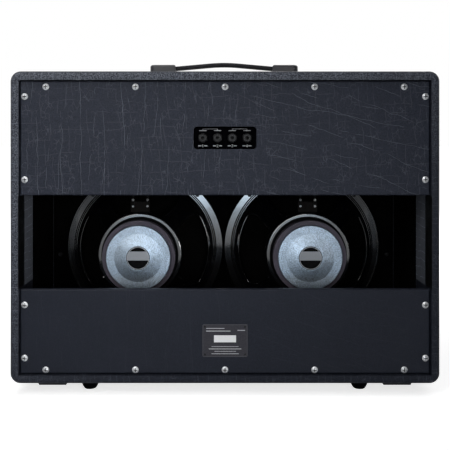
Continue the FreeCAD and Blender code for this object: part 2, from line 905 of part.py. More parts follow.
def jacks():
    """The jack plate with its screws, sockets, nuts, contacts and circuit board."""
    half_plate = size.jack_plate_width / 2
    rise = size.jack_plate_height / 2
    blank = box("jack_plate_blank", (-half_plate, half_plate), (panel_front, jack_face),
                (jack_level - rise, jack_level + rise))
    spots = [(x, panel_front, jack_level) for x in jack_columns()]
    bush_holes = holes("bush_holes", spots, size.jack_bush_radius + size.hole_clearance,
                       size.jack_plate_thickness, FORWARD)
    fix_holes = holes("jack_plate_fixings", [(x, panel_front, z) for x, z in jack_plate_spots()],
                      size.jack_plate_screw_shank + size.hole_clearance, size.jack_plate_thickness, FORWARD)
    plate = cut("jack_plate_bushed", blank, bush_holes)
    finish(cut("jack_plate", plate, fix_holes), "jack_plate")
    model = screw("jack_plate_screw", size.jack_plate_screw_head, size.jack_plate_screw_rise,
                  size.jack_plate_screw_shank, size.jack_plate_screw_length, size.jack_plate_screw_shank)
    copies("jack_plate_screws", model, [(x, jack_face, z) for x, z in jack_plate_spots()], FORWARD)

    seats = [(x, jack_face, jack_level) for x in jack_columns()]
    copies("jack_sockets", jack_socket(), seats, UPWARD)
    nut = ring("jack_nut", (0, 0, 0), UPWARD, size.jack_bush_radius + size.hole_clearance,
               size.jack_nut_radius, dim(0), size.jack_nut_height)
    copies("jack_nuts", nut, spots, REARWARD)
    for number, seat in enumerate(seats, start=1):
        jack_contact(f"jack_contact_{number}", seat)

    board_face = jack_face + size.jack_body_depth
    half_board = size.circuit_board_width / 2
    board_rise = size.circuit_board_height / 2
    board = box("jack_circuit_board", (-half_board, half_board),
                (board_face, board_face + size.circuit_board_thickness),
                (jack_level - board_rise, jack_level + board_rise))
    finish(board, "jack_circuit_board")


def jack_socket():
    """One socket, with the plug's axis on Y and its flange at the origin."""
    half = size.jack_body_width / 2
    rise = size.jack_body_height / 2
    deep = size.jack_body_depth
    block = box("jack_block", (-half, half), (0, deep), (-rise, rise))
    bush = rod("jack_bush", size.jack_bush_radius, size.jack_bush_length, (0, 0, 0), REARWARD)
    bore_length = size.jack_bush_length + size.jack_slot_start
    bore = rod("jack_bore", size.jack_bore_radius, bore_length, (0, -size.jack_bush_length, 0), FORWARD)
    slot_half = size.jack_slot_width / 2
    slot_end = deep - size.jack_chamber_end
    chamber = rod("jack_chamber", size.jack_chamber_radius, slot_end - size.jack_slot_start,
                  (0, size.jack_slot_start, 0), FORWARD)
    slot = box("jack_slot", (-slot_half, slot_half), (size.jack_slot_start, slot_end), (0, rise))
    root_floor = size.contact_level - size.seat_gap
    root_pocket = box("jack_root_pocket", (-slot_half, slot_half), (size.jack_root_start, slot_end),
                      (root_floor, rise))
    solid = fuse("jack_solid", [block, bush])
    return cut("jack_socket", solid, fuse("jack_hollow", [bore, chamber, slot, root_pocket]))


def jack_contact(node, seat):
    """One sprung leaf whose nose dips into the plug's way."""
    level = size.contact_level
    top = level + size.contact_sheet
    nose = size.contact_nose
    dip = size.contact_nose_level
    slope = size.contact_nose_slope
    flat_end = nose + size.contact_nose_flat
    thick = size.contact_sheet
    body = new_body(node)
    sketch = new_sketch(body, "YZ_Plane", "outline")
    outline(sketch, (size.contact_root, level), [
        (nose - slope, level),
        (nose, dip),
        (flat_end, dip),
        (flat_end + slope, level),
        (flat_end + slope - thick, level),
        (flat_end - thick / 2, dip + thick),
        (nose + thick / 2, dip + thick),
        (nose - slope + thick, top),
        (size.contact_root, top),
        (size.contact_root, level),
    ])
    pad(body, sketch, size.contact_width, midplane=True)
    finish(place(body, seat), node)


def strap_line():
    """The strap's top line: the height of its middle arc's centre, and the arc's end from that centre."""
    mouth = size.handle_length / 2 - size.cap_length
    centre = size.strap_crown - size.strap_radius
    rise = size.cap_height - size.cap_roof - size.strap_lift - size.seat_gap - centre
    radius = size.strap_radius
    far = mouth * mouth + rise * rise
    tangent = root(far - radius * radius)
    end_x = held("strap_bend_x", (radius * radius * mouth - radius * tangent * rise) / far)
    end_z = held("strap_bend_z", (radius * radius * rise + radius * tangent * mouth) / far)
    return shell_high + centre, end_x, end_z


def handle():
    """The strap handle, its end caps and screws."""
    mouth = size.handle_length / 2 - size.cap_length
    half_strap = mouth + size.strap_tuck
    base, end_x, end_z = strap_line()
    slope = end_x / end_z
    share = (size.strap_radius - size.strap_thickness) / size.strap_radius
    under_x = end_x * share
    under_z = end_z * share

    def upper(x):
        """The strap's upper face beyond its middle arc."""
        return base + end_z - (x - end_x) * slope

    def lower(x):
        """The strap's lower face beyond its middle arc."""
        return base + under_z - (x - under_x) * slope

    band = new_body("strap_band")
    sketch = new_sketch(band, "XZ_Plane", "outline")
    outline(sketch, (-end_x, base + end_z), [
        (end_x, base + end_z, size.strap_radius, -1),
        (half_strap, upper(half_strap)),
        (half_strap, lower(half_strap)),
        (under_x, base + under_z),
        (-under_x, base + under_z, size.strap_radius - size.strap_thickness, 1),
        (-half_strap, lower(half_strap)),
        (-half_strap, upper(half_strap)),
        (-end_x, base + end_z),
    ])
    pad(band, sketch, size.strap_width, midplane=True)
    slot_radius = size.pillar_radius + 2 * size.seat_gap
    slot_top = shell_high + 2 * size.cap_height
    slots = []
    for index, x in enumerate(handle_spots()):
        for end, sign in ENDS.items():
            spot = (x + sign * size.pillar_slot / 2, 0, shell_high)
            slots.append(rod(f"strap_slot_{index}_{end}", slot_radius, slot_top - shell_high, spot))
        span = (x - size.pillar_slot / 2, x + size.pillar_slot / 2)
        slots.append(box(f"strap_slot_{index}_middle", span, (-slot_radius, slot_radius),
                         (shell_high, slot_top)))
    strap = cut("strap_slotted", band, fuse("strap_slots", slots))
    half_width_of_strap = size.strap_width.value / 2

    def side_edge(edge):
        """Whether an edge runs along a side of the strap."""
        at_side = abs(abs(edge.CenterOfMass.y) - half_width_of_strap) < SAME_POINT
        return at_side and edge.BoundBox.XLength > size.strap_thickness.value

    finish(rounded("handle_strap", strap, size.strap_edge, side_edge), "handle_strap")
    play = size.strap_lift + size.seat_gap
    near = mouth - size.cap_edge
    far = half_strap + 2 * size.seat_gap + size.strap_lift
    hollow = [(near, lower(near) - size.seat_gap), (far, lower(far) - size.seat_gap),
              (far, upper(far) + play), (near, upper(near) + play)]
    for (side, sign), x in zip(SIDES.items(), handle_spots()):
        handle_cap(f"{side}_handle_cap", sign, x, mouth, hollow)
    head_seat = shell_high + size.cap_height - size.handle_screw_sink
    model = screw("handle_screw", size.handle_screw_head, size.handle_screw_rise,
                  size.handle_screw_shank, size.handle_screw_length, size.screw_tip)
    copies("handle_screws", model, [(x, 0, head_seat) for x in handle_spots()], UPWARD)


def handle_cap(node, sign, pillar, mouth, hollow):
    """One moulded end cap, hollow round the strap's end, with a pillar for its screw."""
    half = size.cap_width / 2
    ends = sorted([sign * mouth, sign * size.handle_length / 2], key=lambda end: end.value)
    top = shell_high + size.cap_height
    block = box(f"{node}_block", ends, (-half, half), (shell_high, top))
    outer = sign * size.handle_length.value / 2

    def outer_upright(edge):
        """Whether an edge stands at the cap's outer end."""
        upright = edge.BoundBox.ZLength > size.cap_height.value / 2
        return upright and abs(edge.CenterOfMass.x - outer) < size.cap_corner.value

    def top_edge(edge):
        """Whether an edge lies round the cap's top."""
        return edge.BoundBox.ZMin > top.value - size.cap_edge.value

    corners = rounded(f"{node}_corners", block, size.cap_corner, outer_upright)
    softened = rounded(f"{node}_softened", corners, size.cap_edge, top_edge)
    room = new_body(f"{node}_hollow")
    sketch = new_sketch(room, "XZ_Plane", "outline")
    first, second, third, fourth = [(sign * x, z) for x, z in hollow]
    outline(sketch, first, [second, third, fourth, first])
    pad(room, sketch, size.strap_width + 2 * size.seat_gap, midplane=True)
    shelled = cut(f"{node}_shelled", softened, room)
    post = rod(f"{node}_post", size.pillar_radius, size.cap_height - size.cap_edge, (pillar, 0, shell_high))
    posted = fuse(f"{node}_posted", [shelled, post])
    bore = rod(f"{node}_bore", size.handle_screw_shank + size.hole_clearance, size.cap_height,
               (pillar, 0, shell_high))
    sink = rod(f"{node}_sink", size.handle_screw_head + size.hole_clearance, size.cap_height,
               (pillar, 0, top - size.handle_screw_sink))
    finish(cut(node, posted, fuse(f"{node}_drill", [bore, sink])), node)


def feet():
    """The four domed feet with their screws, and the two low pads at the rear."""
    bore = size.foot_screw_shank + size.hole_clearance
    head_bore = size.foot_screw_head + size.hole_clearance
    collar = size.foot_height - size.foot_collar
    for node, (x, y) in foot_spots().items():
        foot = turned(node, (x, y, 0), UPWARD, (head_bore, 0), [
            (size.foot_flat, 0),
            (size.foot_radius, collar, sagitta_radius(collar, size.foot_radius - size.foot_flat), 1),
            (size.foot_radius, size.foot_height),
            (bore, size.foot_height),
            (bore, size.foot_bore_depth),
            (head_bore, size.foot_bore_depth),
            (head_bore, 0),
        ])
        finish(foot, node)
    model = screw("foot_screw", size.foot_screw_head, size.foot_screw_rise,
                  size.foot_screw_shank, size.foot_screw_length, size.screw_tip)
    copies("foot_screws", model, [(x, y, size.foot_bore_depth) for x, y in foot_spots().values()], DOWNWARD)

    model = new_body("pad_model")
    sketch = new_sketch(model, "XZ_Plane", "outline")
    top = size.pad_width / 2
    foot_half = size.pad_foot_width / 2
    outline(sketch, (-top, 0), [(-foot_half, -size.pad_height), (foot_half, -size.pad_height),
                                (top, 0), (-top, 0)])
    pad(model, sketch, size.pad_depth, midplane=True)
    y = rear + size.pad_inset_y + size.pad_depth / 2
    spots = [(sign * (half_width - size.pad_inset_x), y, shell_low) for sign in SIDES.values()]
    copies("rear_base_pads", model, spots, UPWARD)


def chassis(node, at):
    """The pressed driver frame: rim, beads, step, four legs between windows, and the magnet's ribbed seat."""
    sheet_metal = size.chassis_sheet
    flange = size.gasket
    seat = size.seat_depth
    rib_top = seat + size.rib_rise
    bend_top = rib_top - size.seat_bend
    seat_outer = size.rib_outer + size.seat_bend
    neck = seat_outer + size.neck_flare
    shoulder = flange + size.shoulder_depth
    step = flange + size.step_depth
    step_outer = size.step_radius + sheet_metal
    first_bead = size.bead_radius - size.bead_ramp
    second_bead = first_bead - size.bead_flat - size.bead_ramp
    low_bead = flange_rear + size.bead_rise
    high_bead = low_bead + size.bead_rise
    body = new_body(f"{node}_pressing")
    sketch = new_sketch(body, "XZ_Plane", "outline")
    outline(sketch, (size.seat_hole, seat - sheet_metal), [
        (size.rib_inner + sheet_metal, seat - sheet_metal),
        (size.rib_inner + sheet_metal, rib_top - sheet_metal),
        (size.rib_outer, rib_top - sheet_metal),
        (seat_outer - sheet_metal, bend_top, size.seat_bend - sheet_metal, -1),
        (neck - sheet_metal, size.neck_depth),
        (size.shoulder_radius, shoulder),
        (size.step_radius, step),
        (size.step_radius, flange),
        (size.rim_radius, flange),
        (size.rim_radius, flange + size.rim_lip),
        (size.rim_radius - sheet_metal, flange + size.rim_lip),
        (size.rim_radius - sheet_metal, flange_rear),
        (size.bead_radius, flange_rear),
        (first_bead, low_bead),
        (first_bead - size.bead_flat, low_bead),
        (second_bead, high_bead),
        (second_bead - size.bead_flat, high_bead),
        (step_outer, high_bead + size.bead_rise),
        (step_outer, step + sheet_metal),
        (size.shoulder_radius + sheet_metal, shoulder + sheet_metal),
        (neck, size.neck_depth + sheet_metal),
        (seat_outer, bend_top),
        (size.rib_outer, rib_top, size.seat_bend, 1),
        (size.rib_inner, rib_top),
        (size.rib_inner, seat),
        (size.seat_hole, seat),
        (size.seat_hole, seat - sheet_metal),
    ])
    spin(body, sketch)
    ledge = new_sketch(body, "XZ_Plane", "ledge")
    floor = seat - sheet_metal
    low = floor - size.ledge_height
    outline(ledge, (size.ledge_inner, low), [(size.ledge_outer, low), (size.ledge_outer, floor),
                                             (size.ledge_inner, floor), (size.ledge_inner, low)])
    spin(body, ledge)

    through = 2 * (seat + size.rim_lip)
    tool = new_body(f"{node}_window_tool")
    windows = new_sketch(tool, "XY_Plane", "outline")
    near = root(size.window_inner * size.window_inner - size.window_inner_half * size.window_inner_half)
    far = root(size.window_outer * size.window_outer - size.window_outer_half * size.window_outer_half)
    corners = [(near, -size.window_inner_half), (far, -size.window_outer_half),
               (far, size.window_outer_half), (near, size.window_inner_half)]
    for quarter in range(QUARTER_TURNS):
        first, second, third, fourth = corners
        outer_arc = (*third, size.window_outer, 1)
        inner_arc = (*first, size.window_inner, -1)
        outline(windows, first, [second, outer_arc, fourth, inner_arc])
        corners = [(-y, x) for x, y in corners]
    pad(tool, windows, through, midplane=True)
    place(tool, at, REARWARD)

    def along_axis(edge):
        """Whether an edge runs along the driver's axis."""
        return edge.BoundBox.YLength > NEARLY_ONE * edge.Length

    openings = rounded(f"{node}_windows", tool, size.window_corner, along_axis)
    bolts = new_sketch(body, "XY_Plane", "bolts")
    reach = size.bolt_circle / 2 / root(dim(2))
    for across in SIDES.values():
        for up in SIDES.values():
            circle(bolts, across * reach, up * reach, size.bolt_shank + size.hole_clearance)
    pocket(body, bolts, through)
    place(body, at, REARWARD)
    opened = cut(f"{node}_opened", body, openings)
    tongue = new_body(f"{node}_tongue")
    tab = new_sketch(tongue, "XY_Plane", "tab", seat - size.tab_setback)
    half = size.tab_width / 2
    outline(tab, (-half, size.tab_low), [(half, size.tab_low), (half, size.tab_high),
                                         (-half, size.tab_high), (-half, size.tab_low)])
    pad(tongue, tab, sheet_metal)
    place(tongue, at, REARWARD)
    finish(fuse(node, [opened, tongue]), node)


def motor(side, at):
    """The front plate, magnet and rear plate with its pole."""
    plate_low = size.seat_depth
    magnet_low = plate_low + size.front_plate
    yoke_low = magnet_low + size.magnet_height
    yoke_high = yoke_low + size.rear_plate
    boss_high = yoke_high + size.boss_height
    finish(ring(f"{side}_front_plate", at, REARWARD, size.front_plate_hole, size.plate_radius,
                plate_low, magnet_low), f"{side}_front_plate")
    finish(ring(f"{side}_magnet", at, REARWARD, size.magnet_hole, size.magnet_radius,
                magnet_low, yoke_low), f"{side}_magnet")
    edge = size.rear_plate_edge
    yoke = turned(f"{side}_rear_plate", at, REARWARD, (0, plate_low), [
        (size.pole_radius, plate_low),
        (size.pole_radius, yoke_low),
        (size.plate_radius, yoke_low),
        (size.plate_radius, yoke_high - edge),
        (size.plate_radius - edge, yoke_high),
        (size.boss_radius, yoke_high),
        (size.boss_top_radius, boss_high),
        (0, boss_high),
        (0, plate_low),
    ])
    finish(yoke, f"{side}_rear_plate")


def moving_parts(side, at):
    """The cone with its dust cap and coil, and the spider and surround that carry it."""
    edge_low = size.cone_front
    neck_low = size.cone_front + size.cone_depth
    paper = size.cone_paper
    cone = turned(f"{side}_cone", at, REARWARD, (size.cone_neck, neck_low), [
        (size.cone_edge, edge_low),
        (size.cone_edge, edge_low + paper),
        (size.cone_neck, neck_low + paper),
        (size.cone_neck, neck_low),
    ])
    finish(cone, f"{side}_cone")

    slope = size.cone_depth / (size.cone_edge - size.cone_neck)
    seat = neck_low - (size.cap_radius - size.cone_neck) * slope - size.seat_gap
    crown = seat - size.cap_rise
    sheet_paper = size.cap_paper
    cap = turned(f"{side}_dust_cap", at, REARWARD, (0, crown), [
        (size.cap_radius, seat, sagitta_radius(size.cap_radius, size.cap_rise), 1),
        (size.cap_radius - sheet_paper, seat),
        (0, crown + sheet_paper, sagitta_radius(size.cap_radius - sheet_paper,
                                                size.cap_rise - sheet_paper), -1),
        (0, crown),
    ])
    finish(cap, f"{side}_dust_cap")

    coil_end = size.coil_front + size.coil_length
    winding_high = coil_end - size.winding_setback
    winding_low = winding_high - size.winding_length
    coil = turned(f"{side}_voice_coil", at, REARWARD, (size.coil_former_inner, size.coil_front), [
        (size.coil_former_outer, size.coil_front),
        (size.coil_former_outer, winding_low),
        (size.winding_radius, winding_low),
        (size.winding_radius, winding_high),
        (size.coil_former_outer, winding_high),
        (size.coil_former_outer, coil_end),
        (size.coil_former_inner, coil_end),
        (size.coil_former_inner, size.coil_front),
    ])
    finish(coil, f"{side}_voice_coil")
    finish(spider(f"{side}_spider", at), f"{side}_spider")

    roll_low = size.gasket - size.surround_roll
    rim_low = size.gasket - size.surround_sheet
    thick = size.surround_sheet
    start = size.cone_edge + size.seat_gap
    middle = (start + size.step_radius) / 2
    surround = turned(f"{side}_surround", at, REARWARD, (start, edge_low), [
        (middle - thick, roll_low),
        (middle + thick, roll_low),
        (size.step_radius + thick, rim_low),
        (size.surround_outer, rim_low),
        (size.surround_outer, size.gasket),
        (size.step_radius, size.gasket),
        (middle + thick, roll_low + thick),
        (middle - thick, roll_low + thick),
        (start + thick / 2, edge_low + paper),
        (start, edge_low + paper),
        (start, edge_low),
    ])
    finish(surround, f"{side}_surround")


def spider(name, at):
    """The corrugated disc that centres the coil, glued to the chassis ledge at its edge."""
    thick = size.spider_sheet
    glue = size.seat_depth - size.chassis_sheet - size.ledge_height
    inner = size.cone_neck
    first = inner + size.spider_flat
    last = size.ledge_inner - thick
    turns = 2 * SIZES["spider_waves"]
    top = []
    for index in range(turns + 1):
        lift = size.spider_wave * (index % 2)
        top.append((first + (last - first) * (index / turns), glue - thick - lift))
    upper = [(inner, glue - thick)] + top + [(size.ledge_outer, glue - thick)]
    lower = [(radius, level + thick) for radius, level in reversed(upper)]
    corners = upper + lower
    return turned(name, at, REARWARD, corners[0], corners[1:] + corners[:1])


def drivers():
    """Both drivers, with their gaskets, labels, terminals, bolts and nuts."""
    gaskets = []
    bolts = bolt_spots()
    bolt_holes = holes("gasket_holes", [(x, baffle_rear - size.gasket, z) for x, z in bolts],
                       size.bolt_shank + size.hole_clearance, size.gasket, FORWARD)
    labels = []
    boards = []
    tags = []
    boss_high = (size.seat_depth + size.front_plate + size.magnet_height + size.rear_plate
                 + size.boss_height)
    board_low = size.seat_depth - size.tab_setback + size.chassis_sheet
    tag_low = board_low + size.terminal_thickness
    for side, sign in SIDES.items():
        x = sign * size.driver_x
        at = (x, baffle_rear, driver_level)
        chassis(f"{side}_chassis", at)
        motor(side, at)
        moving_parts(side, at)
        gaskets.append(ring(f"{side}_gasket", at, REARWARD, size.gasket_inner, size.rim_radius,
                            dim(0), size.gasket))
        labels.append(rod(f"{side}_label", size.label_radius, size.label_thickness,
                          (x, baffle_rear - boss_high, driver_level), REARWARD))
        half = size.terminal_width / 2
        boards.append(box(f"{side}_terminal", (x - half, x + half),
                          (baffle_rear - tag_low, baffle_rear - board_low),
                          (driver_level + size.terminal_low, driver_level + size.terminal_high)))
        for end, across in SIDES.items():
            middle = x + across * size.tag_spread
            tags.append(box(f"{side}_{end}_tag", (middle - size.tag_width / 2, middle + size.tag_width / 2),
                            (baffle_rear - tag_low - size.tag_thickness, baffle_rear - tag_low),
                            (driver_level + size.tag_low, driver_level + size.tag_high)))
    finish(cut("driver_gaskets", group("gasket_rings", gaskets), bolt_holes), "driver_gaskets")
    finish(group("magnet_labels", labels), "magnet_labels")
    finish(group("terminal_boards", boards), "terminal_boards")
    finish(group("terminal_tags", tags), "terminal_tags")

    model = screw("driver_bolt", size.bolt_head, size.bolt_rise, size.bolt_shank, size.bolt_length,
                  size.bolt_tip)
    copies("driver_bolts", model, [(x, baffle_front - size.bolt_sink, z) for x, z in bolts], FORWARD)
    hexagon = doc.addObject("Part::Prism", "nut_hexagon")
    hexagon.Polygon = HEXAGON_SIDES
    hexagon.setExpression("Circumradius", size.nut_across.text)
    hexagon.setExpression("Height", size.nut_height.text)
    thread = rod("nut_thread", size.bolt_shank + size.hole_clearance / 2, size.nut_height, (0, 0, 0))
    nut = cut("driver_nut", hexagon, thread)
    copies("driver_nuts", nut, [(x, baffle_rear - flange_rear, z) for x, z in bolts], REARWARD)
    leads(tag_low)


def tube(points, radius):
    """A round lead through its points, with arcs as wide as the runs beside each point allow."""
    edges = []
    radii = []
    begin = points[0]
    for before, corner, after in zip(points, points[1:], points[2:]):
        inward = before.sub(corner)
        outward = after.sub(corner)
        reach = BEND_SHARE * min(inward.Length, outward.Length)
        half_turn = (math.pi - inward.getAngle(outward)) / 2
        radii.append(reach / math.tan(half_turn))
        first = corner.add(inward.normalize().multiply(reach))
        last = corner.add(outward.normalize().multiply(reach))
        bisector = inward.add(outward).normalize()
        depth = radii[-1] * (1 / math.cos(half_turn) - 1)
        edges.append(Part.LineSegment(begin, first).toShape())
        edges.append(Part.Arc(first, corner.add(bisector.multiply(depth)), last).toShape())
        begin = last
    edges.append(Part.LineSegment(begin, points[-1]).toShape())
    path = Part.Wire(edges)
    section = Part.Wire(Part.makeCircle(radius, points[0], points[1].sub(points[0])))
    solid = path.makePipeShell([section], True, False)
    share = solid.Volume / (math.pi * radius * radius * path.Length)
    print(f"lead length {path.Length:.1f}, least radius {min(radii):.1f}, volume share {share:.4f}")
    return solid


def leads(tag_low):
    """Two single leads from the jack circuit board to the tags of each driver."""
    board_face = jack_face + size.jack_body_depth + size.circuit_board_thickness
    tag_top = driver_level + size.tag_high
    tag_middle = baffle_rear - tag_low - size.tag_thickness / 2
    inner_route = [(30.0, 0.0, 0.0), (30.0, 24.0, 0.0), (64.0, 48.0, -16.0), (106.0, 76.0, -38.0)]
    outer_route = [(42.0, 0.0, 0.0), (42.0, 26.0, 0.0), (84.0, 48.0, -14.0), (132.0, 76.0, -36.0)]
    solids = []
    for sign in SIDES.values():
        for across, route in ((-1, inner_route), (1, outer_route)):
            start = FreeCAD.Vector(0, board_face.value, jack_level.value)
            points = [start.add(FreeCAD.Vector(sign * x, y, z)) for x, y, z in route]
            end = sign * (size.driver_x + across * size.tag_spread)
            for level in (tag_top + size.lead_drop, tag_top):
                points.append(FreeCAD.Vector(end.value, tag_middle.value, level.value))
            solids.append(tube(points, size.lead_radius.value))
    bundle = doc.addObject("Part::Feature", "driver_leads")
    bundle.Shape = Part.makeCompound(solids)
    finish(bundle, "driver_leads")


def write_pieces():
    """Checks every object, then writes one file for each sub-part."""
    doc.recompute()
    for obj in doc.Objects:
        if "Invalid" in obj.State or "Error" in obj.State:
            raise RuntimeError(f"{obj.Name} is not sound: {obj.State}")
    for obj in pieces:
        if obj.Shape.isNull() or not obj.Shape.isValid() or not obj.Shape.Solids:
            raise RuntimeError(f"{obj.Label} has no sound shape")
    os.makedirs("parts", exist_ok=True)
    for obj in pieces:
        obj.Shape.exportStep(os.path.join("parts", f"{obj.Label}.step"))
    print(f"{len(pieces)} sub-parts written")


shell()
baffle()
rear_panels()
jacks()
handle()
feet()
drivers()
write_pieces()
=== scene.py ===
"""Looks of the open-back guitar speaker cabinet: materials, soft pieces, small trim, light and camera."""
import json
import math

import bmesh
import bpy
import numpy as np
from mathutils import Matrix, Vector


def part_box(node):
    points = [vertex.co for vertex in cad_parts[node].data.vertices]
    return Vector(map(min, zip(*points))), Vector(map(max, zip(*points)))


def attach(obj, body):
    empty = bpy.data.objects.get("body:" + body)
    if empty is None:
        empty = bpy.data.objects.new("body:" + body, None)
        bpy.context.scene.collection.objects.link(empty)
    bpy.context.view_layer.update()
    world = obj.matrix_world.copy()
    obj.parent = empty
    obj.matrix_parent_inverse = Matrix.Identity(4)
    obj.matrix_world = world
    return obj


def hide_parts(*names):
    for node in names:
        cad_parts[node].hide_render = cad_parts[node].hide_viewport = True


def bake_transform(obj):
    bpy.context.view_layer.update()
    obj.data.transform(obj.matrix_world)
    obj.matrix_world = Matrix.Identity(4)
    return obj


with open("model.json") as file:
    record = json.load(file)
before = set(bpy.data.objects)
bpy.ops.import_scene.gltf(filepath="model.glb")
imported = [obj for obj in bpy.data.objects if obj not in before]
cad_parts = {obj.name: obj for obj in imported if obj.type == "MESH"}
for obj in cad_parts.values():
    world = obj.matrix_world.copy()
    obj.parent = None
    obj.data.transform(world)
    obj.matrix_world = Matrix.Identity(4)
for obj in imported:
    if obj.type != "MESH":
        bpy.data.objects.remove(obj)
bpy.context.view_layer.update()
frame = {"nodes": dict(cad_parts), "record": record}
NODES = frame["nodes"]

# The photograph's camera, level behind the open rear
CAMERA_AT = (-0.015, -1.278, 0.430)
CAMERA_LENS = 54.96
CAMERA_SENSOR = 36.0
CAMERA_SHIFT_X = 0.020
CAMERA_SHIFT_Y = -0.195

# The two drivers' sides, each with its sign of X
SIDES = {"left": -1, "right": 1}

# Places and sizes on the object, in metres
DRIVER_X = 0.157
DRIVER_Z = 0.210
BAFFLE_REAR = 0.108
MOUTH_RADIUS = 0.141
WINDOW_INNER = 0.086
WINDOW_OUTER = 0.1285
WINDOW_ROLL = 0.0013
JACK_X = (-0.0372, -0.0124, 0.0124, 0.0372)
JACK_Z = 0.429
JACK_FACE = -0.122
PLATE_Z = 0.0915
PLATE_HALF_WIDE = 0.0375
PLATE_HALF_TALL = 0.0270
OPENING_Z = 0.255
OPENING_HALF = 0.078
SCREW_RISE = 0.0026
INK_RISE = 0.00006
LEAD_RADIUS = 0.0013
FLEX_THICK = 0.0006
CLOTH_SLACK = 0.0004
WELD_REACH = 1e-6

# The steps of a soft ring, and the quarter turn from upright to level
RING_STEPS = 128
LEVEL = math.pi / 2

# Where painted areas begin and end, in metres
FRAME_SIDE = (0.338, 0.345)
LINING_FACE = (0.3430, 0.3436)
LINING_END = (OPENING_HALF - 0.001, OPENING_HALF)
REAR_ROUND = (-0.134, -0.139)
PANEL_SHADE = (-0.1045, -0.1035)
DEEP_LINING = (0.0, 0.02)
BAFFLE_FRONT = (0.126, 0.128)
SEAT_EDGE = (0.0714, 0.0720)
TAB_SIDE = (0.0160, 0.0165)
TAB_FOOT = (0.0772, 0.0778)
LABEL_LINE_INNER = (0.01935, 0.01945)
LABEL_LINE_OUTER = (0.02035, 0.02045)
LABEL_BAND_LEVEL = 0.0041
LABEL_BAND_HALF = (0.0081, 0.0082)
LABEL_BAND_END = (0.0194, 0.0195)
PLATE_BORDER_INSETS = (0.0004, 0.0010)
BORDER_SOFT = 0.0001

# Colours of the vinyl and its creases, which also serve as the frame's painted light, and the painted shade
# of places that no light reaches
SLATE = (0.0165, 0.0192, 0.0290)
CREASE_AND_PAINTED_LIGHT = (0.165, 0.178, 0.210)
UNLIT = (0.0015, 0.0015, 0.0016)


class Tree:
    """A node tree that starts empty."""

    def __init__(self, tree):
        self.tree = tree
        tree.nodes.clear()

    def feed(self, socket, source):
        """Links a socket, or sets it to a constant."""
        if isinstance(source, bpy.types.NodeSocket):
            self.tree.links.new(source, socket)
        else:
            socket.default_value = source

    def node(self, kind, sockets=None, **settings):
        """One node with its settings and inputs."""
        made = self.tree.nodes.new(kind)
        for name, setting in settings.items():
            setattr(made, name, setting)
        for name, source in (sockets or {}).items():
            self.feed(made.inputs[name], source)
        return made

    def math(self, operation, *terms):
        """A math node on one to three terms."""
        return self.node("ShaderNodeMath", dict(enumerate(terms)), operation=operation).outputs[0]

    def times(self, first, *others):
        """The product of two or more terms."""
        for other in others:
            first = self.math("MULTIPLY", first, other)
        return first

    def step(self, source, low, high, first=0.0, last=1.0):
        """A smooth step of a number between two levels."""
        sockets = {"Value": source, "From Min": low, "From Max": high, "To Min": first, "To Max": last}
        return self.node("ShaderNodeMapRange", sockets, interpolation_type="SMOOTHSTEP").outputs["Result"]

    def below(self, source, edge):
        """One on the near side of an edge, and nought past it."""
        return self.step(source, *edge, 1.0, 0.0)


class Graph(Tree):
    """A material's node tree with its principled shader, and object coordinates in metres."""

    def __init__(self, name, **shader):
        self.material = bpy.data.materials.new(name)
        self.material.use_nodes = True
        super().__init__(self.material.node_tree)
        self.shader = self.node("ShaderNodeBsdfPrincipled")
        self.node("ShaderNodeOutputMaterial", {"Surface": self.shader.outputs[0]})
        self.at = self.node("ShaderNodeTexCoord").outputs["Object"]
        self.set(**shader)

    def set(self, **shader):
        """Feeds the principled shader, with _ for a space in a socket's name."""
        for name, source in shader.items():
            self.feed(self.shader.inputs[name.replace("_", " ")], source)

    def mapped(self, scale=(1, 1, 1), turn=(0, 0, 0), at=None):
        """Coordinates stretched and turned."""
        sockets = {"Vector": at or self.at, "Scale": scale, "Rotation": turn}
        return self.node("ShaderNodeMapping", sockets).outputs[0]

    def noise(self, scale, detail=3.0, rough=0.55, at=None, output="Fac"):
        """Cloudy noise."""
        sockets = {"Vector": at or self.at, "Scale": scale, "Detail": detail, "Roughness": rough}
        return self.node("ShaderNodeTexNoise", sockets).outputs[output]

    def cells(self, scale, at=None, feature="F1"):
        """Cellular noise."""
        sockets = {"Vector": at or self.at, "Scale": scale}
        return self.node("ShaderNodeTexVoronoi", sockets, feature=feature).outputs["Distance"]

    def warped(self, scale, amount, at=None):
        """Coordinates pushed about by noise."""
        at = at or self.at
        push = self.noise(scale, 2.0, at=at, output="Color")
        centred = self.node("ShaderNodeVectorMath", {0: push, 1: (0.5, 0.5, 0.5)}, operation="SUBTRACT")
        sockets = {0: centred.outputs[0], "Scale": amount}
        offset = self.node("ShaderNodeVectorMath", sockets, operation="SCALE")
        return self.node("ShaderNodeVectorMath", {0: at, 1: offset.outputs[0]}, operation="ADD").outputs[0]

    def split(self, at=None):
        """The three coordinates."""
        return self.node("ShaderNodeSeparateXYZ", {0: at or self.at}).outputs

    def mix(self, share, first, second):
        """Two colours mixed by a share."""
        made = self.node("ShaderNodeMix", data_type="RGBA")
        self.feed(made.inputs["Factor"], share)
        for socket, source in zip([made.inputs[6], made.inputs[7]], (first, second)):
            self.feed(socket, source if isinstance(source, bpy.types.NodeSocket) else (*source, 1))
        return made.outputs[2]

    def bump(self, height, distance, strength, normal=None):
        """A normal raised by a height from 0 to 1, over a distance in metres."""
        sockets = {"Height": height, "Distance": distance, "Strength": strength}
        if normal is not None:
            sockets["Normal"] = normal
        return self.node("ShaderNodeBump", sockets).outputs[0]

    def driver_polar(self):
        """The radius from the nearer driver's axis, and the offsets across and up."""
        x, _, z = self.split()
        across = self.math("SUBTRACT", self.math("ABSOLUTE", x), DRIVER_X)
        up = self.math("SUBTRACT", z, DRIVER_Z)
        squares = self.math("ADD", self.times(across, across), self.times(up, up))
        return self.math("SQRT", squares), across, up


